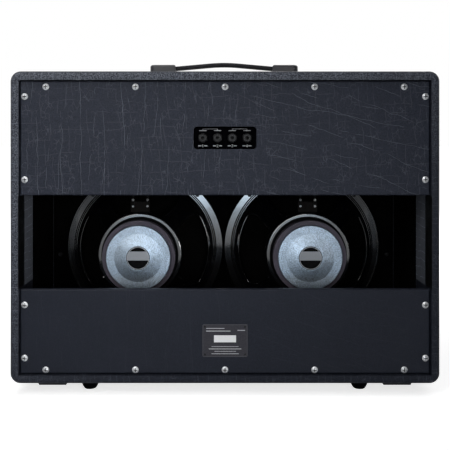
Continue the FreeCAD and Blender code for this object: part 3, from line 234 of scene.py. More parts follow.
def scaled(colour, share, more=0.0):
    """A colour made darker or paler."""
    return tuple(share * part + more for part in colour)


def blended(g, share, first, second):
    """Two numbers mixed by a share."""
    return g.node("ShaderNodeMix", {"Factor": share, 2: first, 3: second}).outputs[0]


def creases(g, at, scale, turn, width, low, high):
    """Thin broken lines along one direction, a turn from upright: the edges of uneven strips."""
    turned = g.mapped(turn=(0.0, turn, 0.0), at=at)
    sockets = {"W": g.split(turned)[0], "Scale": scale}
    strips = g.node("ShaderNodeTexVoronoi", sockets, voronoi_dimensions="1D", feature="DISTANCE_TO_EDGE")
    broken = g.step(g.noise(1.3 * scale, 2.0, at=g.mapped((1.0, 1.0, 0.4), at=turned)), low, high)
    return g.times(g.below(strips.outputs["Distance"], (0.0, width)), broken)


def crackle(g, at):
    """A fine net of short lines in patches."""
    edges = g.cells(150.0, g.mapped((1.0, 1.0, 0.6), (0.0, 0.25, 0.0), at), "DISTANCE_TO_EDGE")
    patches = g.step(g.noise(45.0, 3.0, at=at), 0.48, 0.62)
    return g.times(g.below(edges, (0.0, 0.06)), patches)


def frame_creases(g, at, upper_left_light):
    """Short lines across the frame's boards, fainter towards the lower right as painted shade."""
    side = g.step(g.math("ABSOLUTE", g.split()[0]), *FRAME_SIDE)
    upright = creases(g, at, 90.0, 0.05, 0.08, 0.44, 0.56)
    flat = creases(g, at, 90.0, LEVEL, 0.08, 0.44, 0.56)
    return g.times(blended(g, side, upright, flat), g.step(upper_left_light, 0.0, 1.0, 0.30, 1.0))


def panel_creases(g, at):
    """Long lines, upright on a panel's left and slanted on its right, over fainter ones."""
    side = g.step(g.math("ADD", g.split()[0], g.times(g.noise(4.0), 0.30)), 0.12, 0.26)
    upright = g.math("MAXIMUM", creases(g, at, 26.0, 0.03, 0.012, 0.45, 0.53),
                     creases(g, at, 40.0, -0.07, 0.016, 0.48, 0.56))
    slanted = g.math("MAXIMUM", creases(g, at, 30.0, LEVEL - 0.38, 0.013, 0.46, 0.53),
                     creases(g, at, 44.0, LEVEL - 0.20, 0.018, 0.48, 0.55))
    faint = g.math("MAXIMUM", creases(g, at, 70.0, 0.10, 0.05, 0.46, 0.56),
                   creases(g, at, 58.0, LEVEL + 0.03, 0.04, 0.48, 0.58))
    return g.math("MAXIMUM", blended(g, side, upright, slanted), g.times(faint, 0.26))


def frame_colour(g, at, upper_left_light, colour):
    """Painted light on the frame: a speckled painted highlight along its rear edge towards the upper left,
    a smoother and paler wrinkled lining as painted light, and painted shade at the lining's ends.
    """
    x, y, z = g.split()
    # Painted highlight: pale speckles along the rounded rear edge, strongest towards the upper left
    rim = g.times(g.step(y, *REAR_ROUND), g.step(g.noise(480.0, 4.0), 0.36, 0.72), upper_left_light, 0.80)
    edged = g.mix(rim, colour, CREASE_AND_PAINTED_LIGHT)
    high = g.math("ABSOLUTE", g.math("SUBTRACT", z, OPENING_Z))
    inside = g.times(g.below(g.math("ABSOLUTE", x), LINING_FACE), g.below(high, LINING_END))
    # Painted light: the inner side walls in the opening are made much paler than the vinyl, with pale
    # wrinkles over them
    lining_painted_light = g.mix(g.times(inside, 0.75), edged, scaled(CREASE_AND_PAINTED_LIGHT, 0.78))
    wrinkles = creases(g, at, 75.0, LEVEL, 0.06, 0.40, 0.55)
    lining = g.mix(g.times(inside, g.times(wrinkles, 0.7)), lining_painted_light, scaled(CREASE_AND_PAINTED_LIGHT, 2.2))
    # Painted shade: the lining turns almost black next to the rear panels and from mid-depth to the baffle
    near = g.below(y, PANEL_SHADE)
    deep = g.times(g.step(y, *DEEP_LINING), g.below(y, BAFFLE_FRONT))
    return g.mix(g.times(inside, g.math("MAXIMUM", near, deep)), lining, UNLIT)


def vinyl(name, dark, crease, grain, pebble, smooth, framed=False):
    """Black wrinkled vinyl: pebble grain, thin pale creases and cloudy wear."""
    g = Graph(name, Specular_IOR_Level=0.15)
    bent = g.warped(170.0, 0.0014, at=g.warped(40.0, 0.0065, at=g.warped(11.0, 0.016)))
    if framed:
        x, _, z = g.split()
        # Painted light: a share that grows towards the frame's upper left, which pales its rear edge and
        # strengthens its creases there
        upper_left_light = g.step(g.math("SUBTRACT", z, g.times(x, 0.5)), 0.05, 0.50)
        large = frame_creases(g, bent, upper_left_light)
    else:
        large = panel_creases(g, bent)
    lines = g.math("MAXIMUM", large, g.times(crackle(g, bent), 0.30))
    pebbles = g.cells(pebble, g.warped(300.0, 0.0008))
    fine = g.noise(420.0, 4.0, 0.65)
    cloud = g.step(g.noise(7.0, 5.0), 0.30, 0.72)
    body = g.mix(cloud, dark, scaled(dark, 0.84))
    mottled = g.mix(g.step(fine, 0.34, 0.66), scaled(dark, 0.38), scaled(dark, 1.48))
    clouded = g.mix(smooth, mottled, body)
    speckled = g.mix(g.times(g.step(pebbles, 0.35, 0.70), grain), clouded, scaled(dark, 2.6))
    colour = g.mix(g.times(lines, crease), speckled, CREASE_AND_PAINTED_LIGHT)
    if framed:
        colour = frame_colour(g, bent, upper_left_light, colour)
    wave = g.bump(g.noise(9.0, 2.0), 0.003, 0.3)
    creased = g.bump(lines, 0.0006, crease, wave)
    normal = g.bump(pebbles, 0.0005, grain, creased)
    rough = g.step(g.noise(60.0, 3.0), 0.2, 0.8, 0.42, 0.58)
    g.set(Base_Color=colour, Roughness=rough, Normal=normal)
    return g.material


def metal(name, colour, low, high, speckle, turned=0.0, metallic=1.0):
    """Plated metal with cloudy roughness, speckle and, where it was turned, fine rings."""
    g = Graph(name, Metallic=metallic)
    spots = g.cells(820.0, g.warped(260.0, 0.001))
    cloud = g.noise(45.0, 4.0)
    tint = g.mix(g.step(cloud, 0.3, 0.7), colour, scaled(colour, 0.80))
    shade = g.mix(g.times(g.step(spots, 0.2, 0.7), speckle), tint, scaled(colour, 0.36))
    scratch = g.noise(900.0, 2.0, at=g.mapped((1.0, 1.0, 0.06)))
    rough = g.math("ADD", g.step(cloud, 0.25, 0.75, low, high), g.times(scratch, 0.06))
    normal = g.bump(spots, 0.0002, 0.35 * speckle + 0.05)
    if turned:
        rings = g.math("SINE", g.times(g.driver_polar()[0], 2 * math.pi / turned))
        uneven = g.times(g.math("ADD", rings, g.noise(900.0, 1.0)), 0.5)
        normal = g.bump(uneven, 0.00004, 0.5, normal)
    g.set(Base_Color=shade, Roughness=rough, Normal=normal)
    return g.material


def painted(name, colour, low, high, peel, peel_scale, wear=None, specular=0.5):
    """Paint or moulding: cloudy tone, orange peel or grain, and dust or worn patches."""
    g = Graph(name, Specular_IOR_Level=specular)
    cloud = g.step(g.noise(16.0, 4.0), 0.3, 0.7)
    tone = g.mix(cloud, colour, scaled(colour, 0.70))
    dust = g.times(g.step(g.noise(380.0, 3.0), 0.58, 0.80), 0.30)
    shade = g.mix(dust, tone, wear or scaled(colour, 1.9, 0.004))
    rough = g.step(g.noise(40.0, 4.0), 0.25, 0.75, low, high)
    g.set(Base_Color=shade, Roughness=rough, Normal=g.bump(g.noise(peel_scale, 3.0), peel, 0.6))
    return g.material


def enamel(name):
    """Black chassis paint under gloss lacquer. The lacquer is left off the magnet's seat and the terminal
    tab as painted shade, so that they stay dark, and thinned where there is dust.
    """
    g = Graph(name, Specular_IOR_Level=0.05, Coat_IOR=2.6, Coat_Roughness=0.11)
    radius, across, up = g.driver_polar()
    # Painted shade: no lacquer on the magnet's seat and the terminal tab, so that they stay dark
    seat = g.below(radius, SEAT_EDGE)
    tab = g.times(g.below(g.math("ABSOLUTE", across), TAB_SIDE), g.step(up, *TAB_FOOT))
    dust = g.step(g.noise(380.0, 3.0), 0.58, 0.80)
    dull = g.math("MAXIMUM", g.math("MAXIMUM", seat, tab), g.times(dust, 0.25))
    cloud = g.step(g.noise(16.0, 4.0), 0.3, 0.7)
    tone = g.mix(cloud, (0.0018, 0.0019, 0.0024), (0.0026, 0.0027, 0.0034))
    peel = g.bump(g.noise(120.0, 3.0), 0.00008, 0.6)
    g.set(Base_Color=g.mix(g.times(dust, 0.3), tone, (0.005, 0.005, 0.006)),
          Roughness=g.step(cloud, 0.0, 1.0, 0.50, 0.65), Normal=peel, Coat_Normal=peel,
          Coat_Weight=g.math("SUBTRACT", 1.0, dull))
    return g.material


def wood(name, colour, painted_share):
    """A board with its grain showing through a thin dark finish."""
    g = Graph(name, Specular_IOR_Level=0.0)
    fibres = g.noise(42.0, 5.0, at=g.warped(9.0, 0.02, at=g.mapped((0.12, 1.0, 1.0))))
    lines = g.noise(420.0, 3.0, at=g.mapped((0.05, 1.0, 1.0)))
    bare = g.mix(g.step(fibres, 0.35, 0.65), colour, scaled(colour, 0.62))
    patches = g.step(g.noise(24.0, 4.0), 0.30, 0.75)
    finish = g.mix(patches, (0.0012, 0.0012, 0.0013), (0.0030, 0.0030, 0.0032))
    share = g.step(lines, 0.20, 0.85, 1.0, 2 * painted_share - 1)
    g.set(Base_Color=g.mix(share, bare, finish), Roughness=g.step(fibres, 0.3, 0.7, 0.62, 0.82),
          Normal=g.bump(g.math("ADD", fibres, g.times(lines, 0.5)), 0.0005, 0.5))
    return g.material


def rubber(name, colour, grain_scale, rough):
    """Black rubber with a fine moulded grain and grey bloom."""
    g = Graph(name, Specular_IOR_Level=0.05)
    pits = g.cells(grain_scale, g.warped(220.0, 0.0008))
    bloom = g.times(g.step(g.noise(55.0, 4.0), 0.45, 0.80), 0.45)
    shade = g.mix(bloom, colour, scaled(colour, 1.9, 0.001))
    g.set(Base_Color=shade, Roughness=g.step(g.noise(90.0), 0.3, 0.7, rough - 0.08, rough + 0.08),
          Normal=g.bump(pits, 0.0003, 0.5))
    return g.material


def cloth(name, colour, pitch, sheen):
    """Woven cloth: over-and-under threads on two axes, with uneven yarn and pale flecks."""
    g = Graph(name, Sheen_Weight=sheen, Specular_IOR_Level=0.15)
    x, _, z = g.split(g.warped(60.0, 0.0004))
    wave_x = g.math("SINE", g.times(x, 2 * math.pi / pitch))
    wave_z = g.math("SINE", g.times(z, 2 * math.pi / pitch))
    weave = g.math("MULTIPLY_ADD", g.times(wave_x, wave_z), 0.5, 0.5)
    yarn = g.noise(700.0, 3.0)
    flecks = g.step(g.noise(160.0, 2.0, at=g.mapped((1.0, 1.0, 2.2))), 0.56, 0.66)
    light = g.mix(g.times(weave, 0.7), scaled(colour, 0.40), colour)
    plain = g.mix(g.times(g.step(yarn, 0.45, 0.75), 0.35), light, scaled(colour, 1.8))
    shade = g.mix(g.times(flecks, 0.55), plain, scaled(colour, 3.6))
    g.set(Base_Color=shade, Roughness=g.step(yarn, 0.3, 0.7, 0.75, 0.92),
          Normal=g.bump(g.math("ADD", weave, g.times(yarn, 0.3)), 0.0004, 0.8))
    return g.material


def radial_fabric(name, colour, bands, rough):
    """Doped cloth or paper round a driver's axis, with fibres and faint rings."""
    g = Graph(name, Specular_IOR_Level=0.05)
    ripple = g.math("SINE", g.times(g.driver_polar()[0], 2 * math.pi / bands))
    rings = g.math("MULTIPLY_ADD", ripple, 0.5, 0.5)
    fibres = g.noise(330.0, 5.0, 0.7, at=g.warped(120.0, 0.004))
    cloud = g.step(g.noise(28.0, 3.0), 0.3, 0.7)
    tone = g.mix(cloud, colour, scaled(colour, 0.68))
    shade = g.mix(g.times(g.step(fibres, 0.45, 0.72), 0.5), tone, scaled(colour, 1.9))
    g.set(Base_Color=shade, Roughness=g.step(fibres, 0.3, 0.7, rough - 0.08, rough + 0.06),
          Normal=g.bump(g.math("ADD", fibres, g.times(rings, 0.35)), 0.0005, 0.6))
    return g.material


def label_film(name):
    """The plain disc on the motor: black film with a pale outline and a grey band."""
    g = Graph(name, Specular_IOR_Level=0.04)
    radius, _, up = g.driver_polar()
    outline = g.times(g.step(radius, *LABEL_LINE_INNER), g.below(radius, LABEL_LINE_OUTER))
    level = g.math("ABSOLUTE", g.math("SUBTRACT", up, LABEL_BAND_LEVEL))
    band = g.times(g.below(level, LABEL_BAND_HALF), g.below(radius, LABEL_BAND_END))
    wear = g.step(g.noise(260.0, 4.0), 0.35, 0.75)
    film = g.mix(wear, (0.003, 0.003, 0.0035), (0.006, 0.006, 0.007))
    banded = g.mix(g.times(band, 0.90), film, (0.38, 0.40, 0.43))
    worn_line = g.times(outline, g.step(wear, 0.0, 1.0, 0.95, 0.65))
    g.set(Base_Color=g.mix(worn_line, banded, (0.50, 0.52, 0.55)),
          Roughness=g.step(wear, 0.0, 1.0, 0.30, 0.42), Normal=g.bump(wear, 0.0001, 0.15))
    return g.material


def plate_paint(name):
    """The bare plate on the lower panel: satin dark grey with a fine worn border."""
    g = Graph(name, Specular_IOR_Level=0.25)
    x, _, z = g.split()
    across = g.math("ABSOLUTE", x)
    up = g.math("ABSOLUTE", g.math("SUBTRACT", z, PLATE_Z))
    masks = []
    for inset in PLATE_BORDER_INSETS:
        wide = PLATE_HALF_WIDE - inset
        tall = PLATE_HALF_TALL - inset
        between = g.below(across, (wide, wide + BORDER_SOFT))
        masks.append(g.times(between, g.below(up, (tall, tall + BORDER_SOFT))))
    border = g.math("SUBTRACT", *masks)
    speck = g.step(g.noise(520.0, 4.0), 0.40, 0.75)
    paint = g.mix(speck, (0.030, 0.029, 0.037), (0.048, 0.047, 0.056))
    shade = g.mix(g.times(border, 0.45), paint, (0.16, 0.16, 0.17))
    g.set(Base_Color=shade, Roughness=g.step(speck, 0.0, 1.0, 0.40, 0.55),
          Normal=g.bump(speck, 0.0001, 0.3))
    return g.material


def laminate(name, colour, tracks=False):
    """Fibre laminate, with copper tracks under the mask where it is a circuit board."""
    g = Graph(name, Specular_IOR_Level=0.05)
    weave = g.noise(240.0, 3.0, at=g.mapped((1.0, 1.0, 0.25)))
    tone = g.mix(g.step(weave, 0.3, 0.7), colour, scaled(colour, 0.65))
    if tracks:
        copper = g.step(g.cells(120.0, g.mapped((1.0, 1.0, 0.5))), 0.42, 0.46)
        tone = g.mix(g.times(copper, 0.6), tone, scaled(colour, 1.8))
    g.set(Base_Color=tone, Roughness=g.step(weave, 0.3, 0.7, 0.35, 0.52), Normal=g.bump(weave, 0.0002, 0.4))
    return g.material


def copper_winding(name):
    """Lacquered wire on its former."""
    g = Graph(name, Metallic=1.0)
    wire_pitch = 0.0004
    wires = g.math("SINE", g.times(g.split()[1], 2 * math.pi / wire_pitch))
    cloud = g.step(g.noise(60.0, 3.0), 0.3, 0.7)
    g.set(Base_Color=g.mix(cloud, (0.62, 0.30, 0.14), (0.42, 0.19, 0.08)),
          Roughness=g.step(g.noise(60.0, 3.0), 0.3, 0.7, 0.28, 0.42), Normal=g.bump(wires, 0.0001, 0.5))
    return g.material


def ink(name, colour):
    """Screen-printed marks with a slightly broken edge."""
    g = Graph(name, Specular_IOR_Level=0.3)
    worn = g.step(g.noise(1500.0, 3.0), 0.30, 0.60)
    g.set(Base_Color=g.mix(worn, scaled(colour, 0.55), colour),
          Roughness=g.step(worn, 0.0, 1.0, 0.70, 0.50))
    return g.material


def sticker_paper(name):
    """Coated white paper with faint fibres."""
    g = Graph(name, Specular_IOR_Level=0.2)
    fibres = g.step(g.noise(900.0, 4.0, at=g.mapped((1.0, 1.0, 2.5))), 0.30, 0.70)
    g.set(Base_Color=g.mix(fibres, (0.78, 0.78, 0.79), (0.86, 0.86, 0.86)),
          Roughness=g.step(fibres, 0.0, 1.0, 0.45, 0.60), Normal=g.bump(fibres, 0.00003, 0.4))
    return g.material


def solder(name):
    """Dull tin with a frosted skin."""
    g = Graph(name, Metallic=1.0)
    frost = g.noise(520.0, 4.0)
    g.set(Base_Color=g.mix(g.step(frost, 0.3, 0.7), (0.78, 0.78, 0.80), (0.56, 0.57, 0.60)),
          Roughness=g.step(frost, 0.3, 0.7, 0.22, 0.40), Normal=g.bump(frost, 0.0003, 0.5))
    return g.material


MATERIALS = {
    # The frame's copy of the vinyl is darker than the upper panel's as painted shade, and lightened towards
    # the upper left by painted light; the lower panel's copy is darker, with fainter creases and grain, as
    # painted shade
    "vinyl": vinyl("vinyl", scaled(SLATE, 0.66), crease=0.60, grain=0.40, pebble=560.0,
                   smooth=0.55, framed=True),
    "upper_panel_vinyl": vinyl("upper_panel_vinyl", SLATE, crease=0.85, grain=0.25, pebble=700.0,
                               smooth=0.50),
    "lower_panel_shaded_vinyl": vinyl("lower_panel_shaded_vinyl", scaled(SLATE, 0.89), crease=0.08, grain=0.12,
                               pebble=700.0, smooth=0.85),
    "plywood": wood("plywood", (0.060, 0.046, 0.032), 0.985),
    "cleat_wood": wood("cleat_wood", (0.050, 0.040, 0.030), 0.985),
    "baffle_paint": wood("baffle_paint", (0.040, 0.033, 0.026), 0.990),
    "grille_cloth": cloth("grille_cloth", (0.026, 0.026, 0.029), 0.0030, 0.25),
    "black_steel": painted("black_steel", (0.004, 0.004, 0.0045), 0.30, 0.42, 0.0001, 500.0, specular=0.3),
    "zinc_screw": metal("zinc_screw", (0.94, 0.95, 0.97), 0.26, 0.38, 0.15, metallic=0.50),
    "rating_plate": plate_paint("rating_plate"),
    "jack_plate": painted("jack_plate", (0.0016, 0.0016, 0.0024), 0.30, 0.42, 0.00005, 700.0,
                          wear=(0.003, 0.003, 0.0034), specular=0.0),
    "jack_plastic": painted("jack_plastic", (0.0060, 0.0060, 0.0066), 0.28, 0.40, 0.0002, 500.0,
                            wear=(0.012, 0.012, 0.012), specular=0.25),
    "contact_brass": metal("contact_brass", (0.78, 0.72, 0.58), 0.22, 0.36, 0.20),
    "circuit_board": laminate("circuit_board", (0.020, 0.090, 0.035), tracks=True),
    "handle_rubber": rubber("handle_rubber", (0.026, 0.026, 0.029), 800.0, 0.55),
    "handle_plastic": painted("handle_plastic", (0.028, 0.028, 0.034), 0.34, 0.50, 0.0003, 600.0),
    "foot_rubber": rubber("foot_rubber", (0.0012, 0.0012, 0.0018), 600.0, 0.60),
    "base_pad": painted("base_pad", (0.016, 0.017, 0.020), 0.40, 0.55, 0.0003, 600.0, specular=0.3),
    "chassis_paint": enamel("chassis_paint"),
    "motor_zinc": metal("motor_zinc", (0.71, 0.85, 1.0), 0.34, 0.42, 0.92, turned=0.0016),
    "tag_tin": painted("tag_tin", (0.005, 0.0045, 0.004), 0.40, 0.55, 0.0001, 500.0,
                       wear=(0.008, 0.008, 0.008), specular=0.05),
    "ferrite": painted("ferrite", (0.075, 0.062, 0.088), 0.50, 0.66, 0.0004, 420.0),
    "cone_paper": radial_fabric("cone_paper", (0.0020, 0.0019, 0.0018), 0.008, 0.85),
    "coil_copper": copper_winding("coil_copper"),
    "spider_cloth": radial_fabric("spider_cloth", (0.40, 0.28, 0.12), 0.0016, 0.75),
    "surround_cloth": radial_fabric("surround_cloth", (0.020, 0.020, 0.021), 0.0012, 0.55),
    "gasket": rubber("gasket", (0.040, 0.036, 0.032), 300.0, 0.80),
    "magnet_label": label_film("magnet_label"),
    "terminal_board": laminate("terminal_board", (0.0045, 0.0030, 0.0022)),
    "lead_insulation": rubber("lead_insulation", (0.012, 0.012, 0.013), 900.0, 0.45),
    "ink": ink("ink", (0.78, 0.79, 0.80)),
    "faint_ink": ink("faint_ink", (0.55, 0.55, 0.57)),
    "sticker_paper": sticker_paper("sticker_paper"),
    "solder": solder("solder"),
    "recess_grime": painted("recess_grime", (0.010, 0.010, 0.011), 0.60, 0.75, 0.0001, 900.0, specular=0.1),
}
OWN_MATERIAL = {
    "upper_rear_panel": "upper_panel_vinyl",
    "lower_rear_panel": "lower_panel_shaded_vinyl",
    "terminal_tags": "tag_tin",
    "baffle_screws": "black_steel",
    "rating_plate_rivets": "black_steel",
}
for entry in frame["record"]["subparts"]:
    node = entry["node"]
    surface = MATERIALS[OWN_MATERIAL.get(node, entry["material_slot"])]
    NODES[node].data.materials.clear()
    NODES[node].data.materials.append(surface)


def placed(name, data):
    """A new object in the part's frame."""
    made = bpy.data.objects.new(name, data)
    bpy.context.scene.collection.objects.link(made)
    return made


def piece(name, points, faces, material, smooth=True):
    """A new mesh piece in the part's frame."""
    mesh = bpy.data.meshes.new(name)
    mesh.from_pydata([tuple(point) for point in points], [], faces)
    mesh.update()
    mesh.polygons.foreach_set("use_smooth", [smooth] * len(mesh.polygons))
    mesh.materials.append(MATERIALS[material])
    return placed(name, mesh)


def tube(name, radius, roundness, material):
    """A new round curve in the part's frame, still without its splines."""
    curve = bpy.data.curves.new(name, "CURVE")
    curve.dimensions = "3D"
    curve.bevel_depth = radius
    curve.bevel_resolution = roundness
    curve.use_fill_caps = True
    curve.materials.append(MATERIALS[material])
    return placed(name, curve)


def lathe(profile, centre, steps=RING_STEPS, radial=None):
    """Points and faces of a closed or open profile of radius and depth, turned about an axis along Y."""
    points = []
    for index in range(steps):
        angle = 2 * math.pi * index / steps
        for radius, depth in profile:
            reach = radius if radial is None else radial(radius, angle)
            points.append((centre[0] + reach * math.cos(angle), centre[1] + depth,
                           centre[2] + reach * math.sin(angle)))
    count = len(profile)
    faces = []
    for index in range(steps):
        here = index * count
        there = (index + 1) % steps * count
        for along in range(count - 1):
            faces.append((here + along, here + along + 1, there + along + 1, there + along))
    return points, faces


def gather(parts):
    """Several sets of points and faces as one."""
    points = []
    faces = []
    for some_points, some_faces in parts:
        base = len(points)
        points += some_points
        faces += [tuple(base + index for index in face) for face in some_faces]
    return points, faces


def thickened(line, thick):
    """A closed profile on both sides of an open line."""
    upper = [(radius, depth - thick / 2) for radius, depth in line]
    lower = [(radius, depth + thick / 2) for radius, depth in line]
    return upper + lower[::-1] + upper[:1]


def flexing(name, node, side, line, material, fixed_radius, moving_radius):
    """A soft ring that joins the cabinet's chassis to the moving cone."""
    centre = (SIDES[side] * DRIVER_X, BAFFLE_REAR, DRIVER_Z)
    points, faces = lathe(thickened(line, FLEX_THICK), centre)
    made = piece(name, points, faces, material)
    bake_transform(made)
    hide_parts(node)


def surround_line():
    """The surround from the cone's edge to the rim: a glued lap, two small rolls and a flat rim."""
    inner = 0.1290
    span = 0.0056
    low = -0.0045
    high = -0.0025
    climb_share = 0.66
    roll = 0.0012
    rolls = 1.5
    count = 28
    line = [(0.1272, -0.00516), (0.1280, -0.00458)]
    for index in range(count + 1):
        share = index / count
        level = low + (high - low) * min(1.0, share / climb_share)
        line.append((inner + span * share, level + roll * math.sin(2 * math.pi * rolls * share)))
    line += [(0.1352, -0.0026), (0.1380, -0.0026), (0.1409, -0.0026)]
    return line


def spider_line():
    """The spider from the coil to its ledge, in five even waves."""
    inner = 0.0266
    span = 0.0384
    level = -0.0882
    half_wave = 0.001
    waves = 5
    count = 100
    line = [(0.0227, level), (0.0262, level)]
    for index in range(1, count + 1):
        share = index / count
        lift = half_wave * (1 - math.cos(2 * math.pi * waves * share))
        line.append((inner + span * share, level + lift))
    line += [(0.0680, level), (0.0709, level)]
    return line


SURROUND_FLEX = (0.1329, 0.1290)
SPIDER_FLEX = (0.0655, 0.0262)
for side in SIDES:
    flexing(f"{side}_surround_rolls", f"{side}_surround", side, surround_line(), "surround_cloth",
            *SURROUND_FLEX)
    flexing(f"{side}_spider_waves", f"{side}_spider", side, spider_line(), "spider_cloth",
            *SPIDER_FLEX)


def grille():
    """The stretched cloth in front of the baffle, a little slack over the two mouths."""
    low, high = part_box("grille_cloth")
    columns = 120
    rows = 86
    face = (low.y + high.y) / 2
    points = []
    for row in range(rows + 1):
        z = low.z + (high.z - low.z) * row / rows
        for column in range(columns + 1):
            x = low.x + (high.x - low.x) * column / columns
            reach = math.hypot(abs(x) - DRIVER_X, z - DRIVER_Z)
            slack = max(0.0, 1 - (reach / MOUTH_RADIUS) ** 2)
            points.append((x, face - CLOTH_SLACK * slack, z))
    faces = []
    for row in range(rows):
        for column in range(columns):
            corner = row * (columns + 1) + column
            faces.append((corner, corner + columns + 1, corner + columns + 2, corner + 1))
    made = piece("grille_weave", points, faces, "grille_cloth")
    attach(made, "cabinet")
    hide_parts("grille_cloth")


def jack_nuts():
    """The four ring nuts, with chamfers and six gripping notches."""
    profile = [(0.0061, 0.0), (0.0082, 0.0), (0.0083, -0.0002), (0.0083, -0.0026), (0.0079, -0.0033),
               (0.0072, -0.0038), (0.0067, -0.0040), (0.0063, -0.0039), (0.0061, -0.0036), (0.0061, 0.0)]
    notches = 6
    notch_half = 0.16
    notch_deep = 0.0009
    notch_from = 0.0074
    steps = 96

    def notched(radius, angle):
        """The radius at an angle, less in a notch."""
        near = abs((angle * notches / (2 * math.pi) + 0.5) % 1 - 0.5) * 2 * math.pi / notches
        return radius - (notch_deep if near < notch_half and radius > notch_from else 0.0)

    parts = [lathe(profile, (x, JACK_FACE, JACK_Z), steps, notched) for x in JACK_X]
    made = piece("jack_ring_nuts", *gather(parts), "jack_plastic")
    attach(made, "cabinet")
    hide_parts("jack_nuts")


# The plate's rules: level above its middle, both ends and width, in metres
PLATE_RULES = [
    (0.0204, -0.0307, -0.0017, 0.0012),
    (0.0160, -0.0307, 0.0083, 0.0014),
    (0.0172, 0.0214, 0.0327, 0.0012),
    (-0.0098, -0.0219, 0.0220, 0.0008),
    (-0.0137, -0.0265, 0.0265, 0.0012),
    (-0.0177, -0.0172, 0.0178, 0.0008),
    (-0.0217, -0.0219, 0.0222, 0.0010),
]
STICKER_HALF_WIDE = 0.0367 / 2
STICKER_HALF_TALL = 0.0117 / 2
STICKER_LEVEL = 0.0031
STICKER_CORNER = 0.0006
STICKER_THICK = 0.00012

# The strokes of the numbers, in shares of their width and height
STROKES = {
    1: [[(0.2, 0.78), (0.5, 1.0), (0.5, 0.0)], [(0.22, 0.0), (0.78, 0.0)]],
    2: [[(0.12, 0.76), (0.24, 0.94), (0.5, 1.0), (0.76, 0.94), (0.88, 0.74), (0.78, 0.52), (0.12, 0.0),
         (0.9, 0.0)]],
    3: [[(0.14, 0.88), (0.36, 1.0), (0.66, 0.98), (0.84, 0.78), (0.74, 0.58), (0.46, 0.52)],
        [(0.46, 0.52), (0.78, 0.46), (0.88, 0.24), (0.68, 0.03), (0.36, 0.0), (0.12, 0.13)]],
    4: [[(0.68, 0.0), (0.68, 1.0), (0.1, 0.28), (0.92, 0.28)]],
}


def stroke_faces(points, width, face):
    """A flat printed line through points of X and Z."""
    corners = []
    faces = []
    for first, last in zip(points, points[1:]):
        run = Vector((last[0] - first[0], last[1] - first[1]))
        along = run.normalized() * width / 2
        aside = Vector((-along.y, along.x))
        base = len(corners)
        for end, sign in ((first, -1), (last, 1)):
            for turn in (-1, 1):
                spot = Vector(end) + sign * along + turn * aside
                corners.append((spot.x, face, spot.y))
        faces.append((base, base + 1, base + 3, base + 2))
    return corners, faces


def jack_numbers():
    """Plain numbers under the jacks."""
    wide = 0.0027
    tall = 0.0042
    foot = 0.4135
    width = 0.0006
    numbers = []
    for number, x in enumerate(JACK_X, start=1):
        for stroke in STROKES[number]:
            spots = [(x + (u - 0.5) * wide, foot + v * tall) for u, v in stroke]
            numbers.append(stroke_faces(spots, width, JACK_FACE - INK_RISE))
    made = piece("jack_numbers", *gather(numbers), "ink", smooth=False)
    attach(made, "cabinet")


def jack_lines():
    """Short lines beside the numbers and above the jacks, and brackets over the two pairs of jacks."""
    upper_level = 0.4412
    upper_half = 0.0055
    upper_width = 0.0012
    lower_level = 0.4156
    lower_ends = (0.0030, 0.0068)
    lower_width = 0.0014
    bracket_foot = 0.4424
    bracket_head = 0.4440
    bracket_width = 0.0005
    face = JACK_FACE - INK_RISE
    lines = []
    for x in JACK_X:
        ends = [(x - upper_half, upper_level), (x + upper_half, upper_level)]
        lines.append(stroke_faces(ends, upper_width, face))
        for sign in SIDES.values():
            ends = [(x + sign * end, lower_level) for end in lower_ends]
            lines.append(stroke_faces(ends, lower_width, face))
    for first, last in (JACK_X[:2], JACK_X[2:]):
        ends = [(first, bracket_foot), (first, bracket_head), (last, bracket_head), (last, bracket_foot)]
        lines.append(stroke_faces(ends, bracket_width, face))
    made = piece("jack_lines", *gather(lines), "faint_ink", smooth=False)
    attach(made, "cabinet")


def plate_rules():
    """Empty rules on the rating plate."""
    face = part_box("rating_plate")[0].y - INK_RISE
    rules = []
    for level, first, last, width in PLATE_RULES:
        ends = [(first, PLATE_Z + level), (last, PLATE_Z + level)]
        rules.append(stroke_faces(ends, width, face))
    made = piece("plate_rules", *gather(rules), "faint_ink", smooth=False)
    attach(made, "cabinet")


def blank_sticker():
    """A blank paper sticker with round corners among the plate's rules."""
    middle = PLATE_Z + STICKER_LEVEL
    steps = 6
    outline = []
    for turn, (across, up) in enumerate(((1, 1), (-1, 1), (-1, -1), (1, -1))):
        corner_x = across * (STICKER_HALF_WIDE - STICKER_CORNER)
        corner_z = middle + up * (STICKER_HALF_TALL - STICKER_CORNER)
        for index in range(steps + 1):
            angle = math.pi / 2 * (turn + index / steps)
            outline.append((corner_x + STICKER_CORNER * math.cos(angle),
                            corner_z + STICKER_CORNER * math.sin(angle)))
    count = len(outline)
    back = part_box("rating_plate")[0].y
    points = [(x, back, z) for x, z in outline] + [(x, back - STICKER_THICK, z) for x, z in outline]
    faces = []
    for index in range(count):
        after = (index + 1) % count
        faces.append((index, after, count + after, count + index))
    faces.append(tuple(range(count, 2 * count)))
    made = piece("blank_sticker", points, faces, "sticker_paper", smooth=False)
    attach(made, "cabinet")


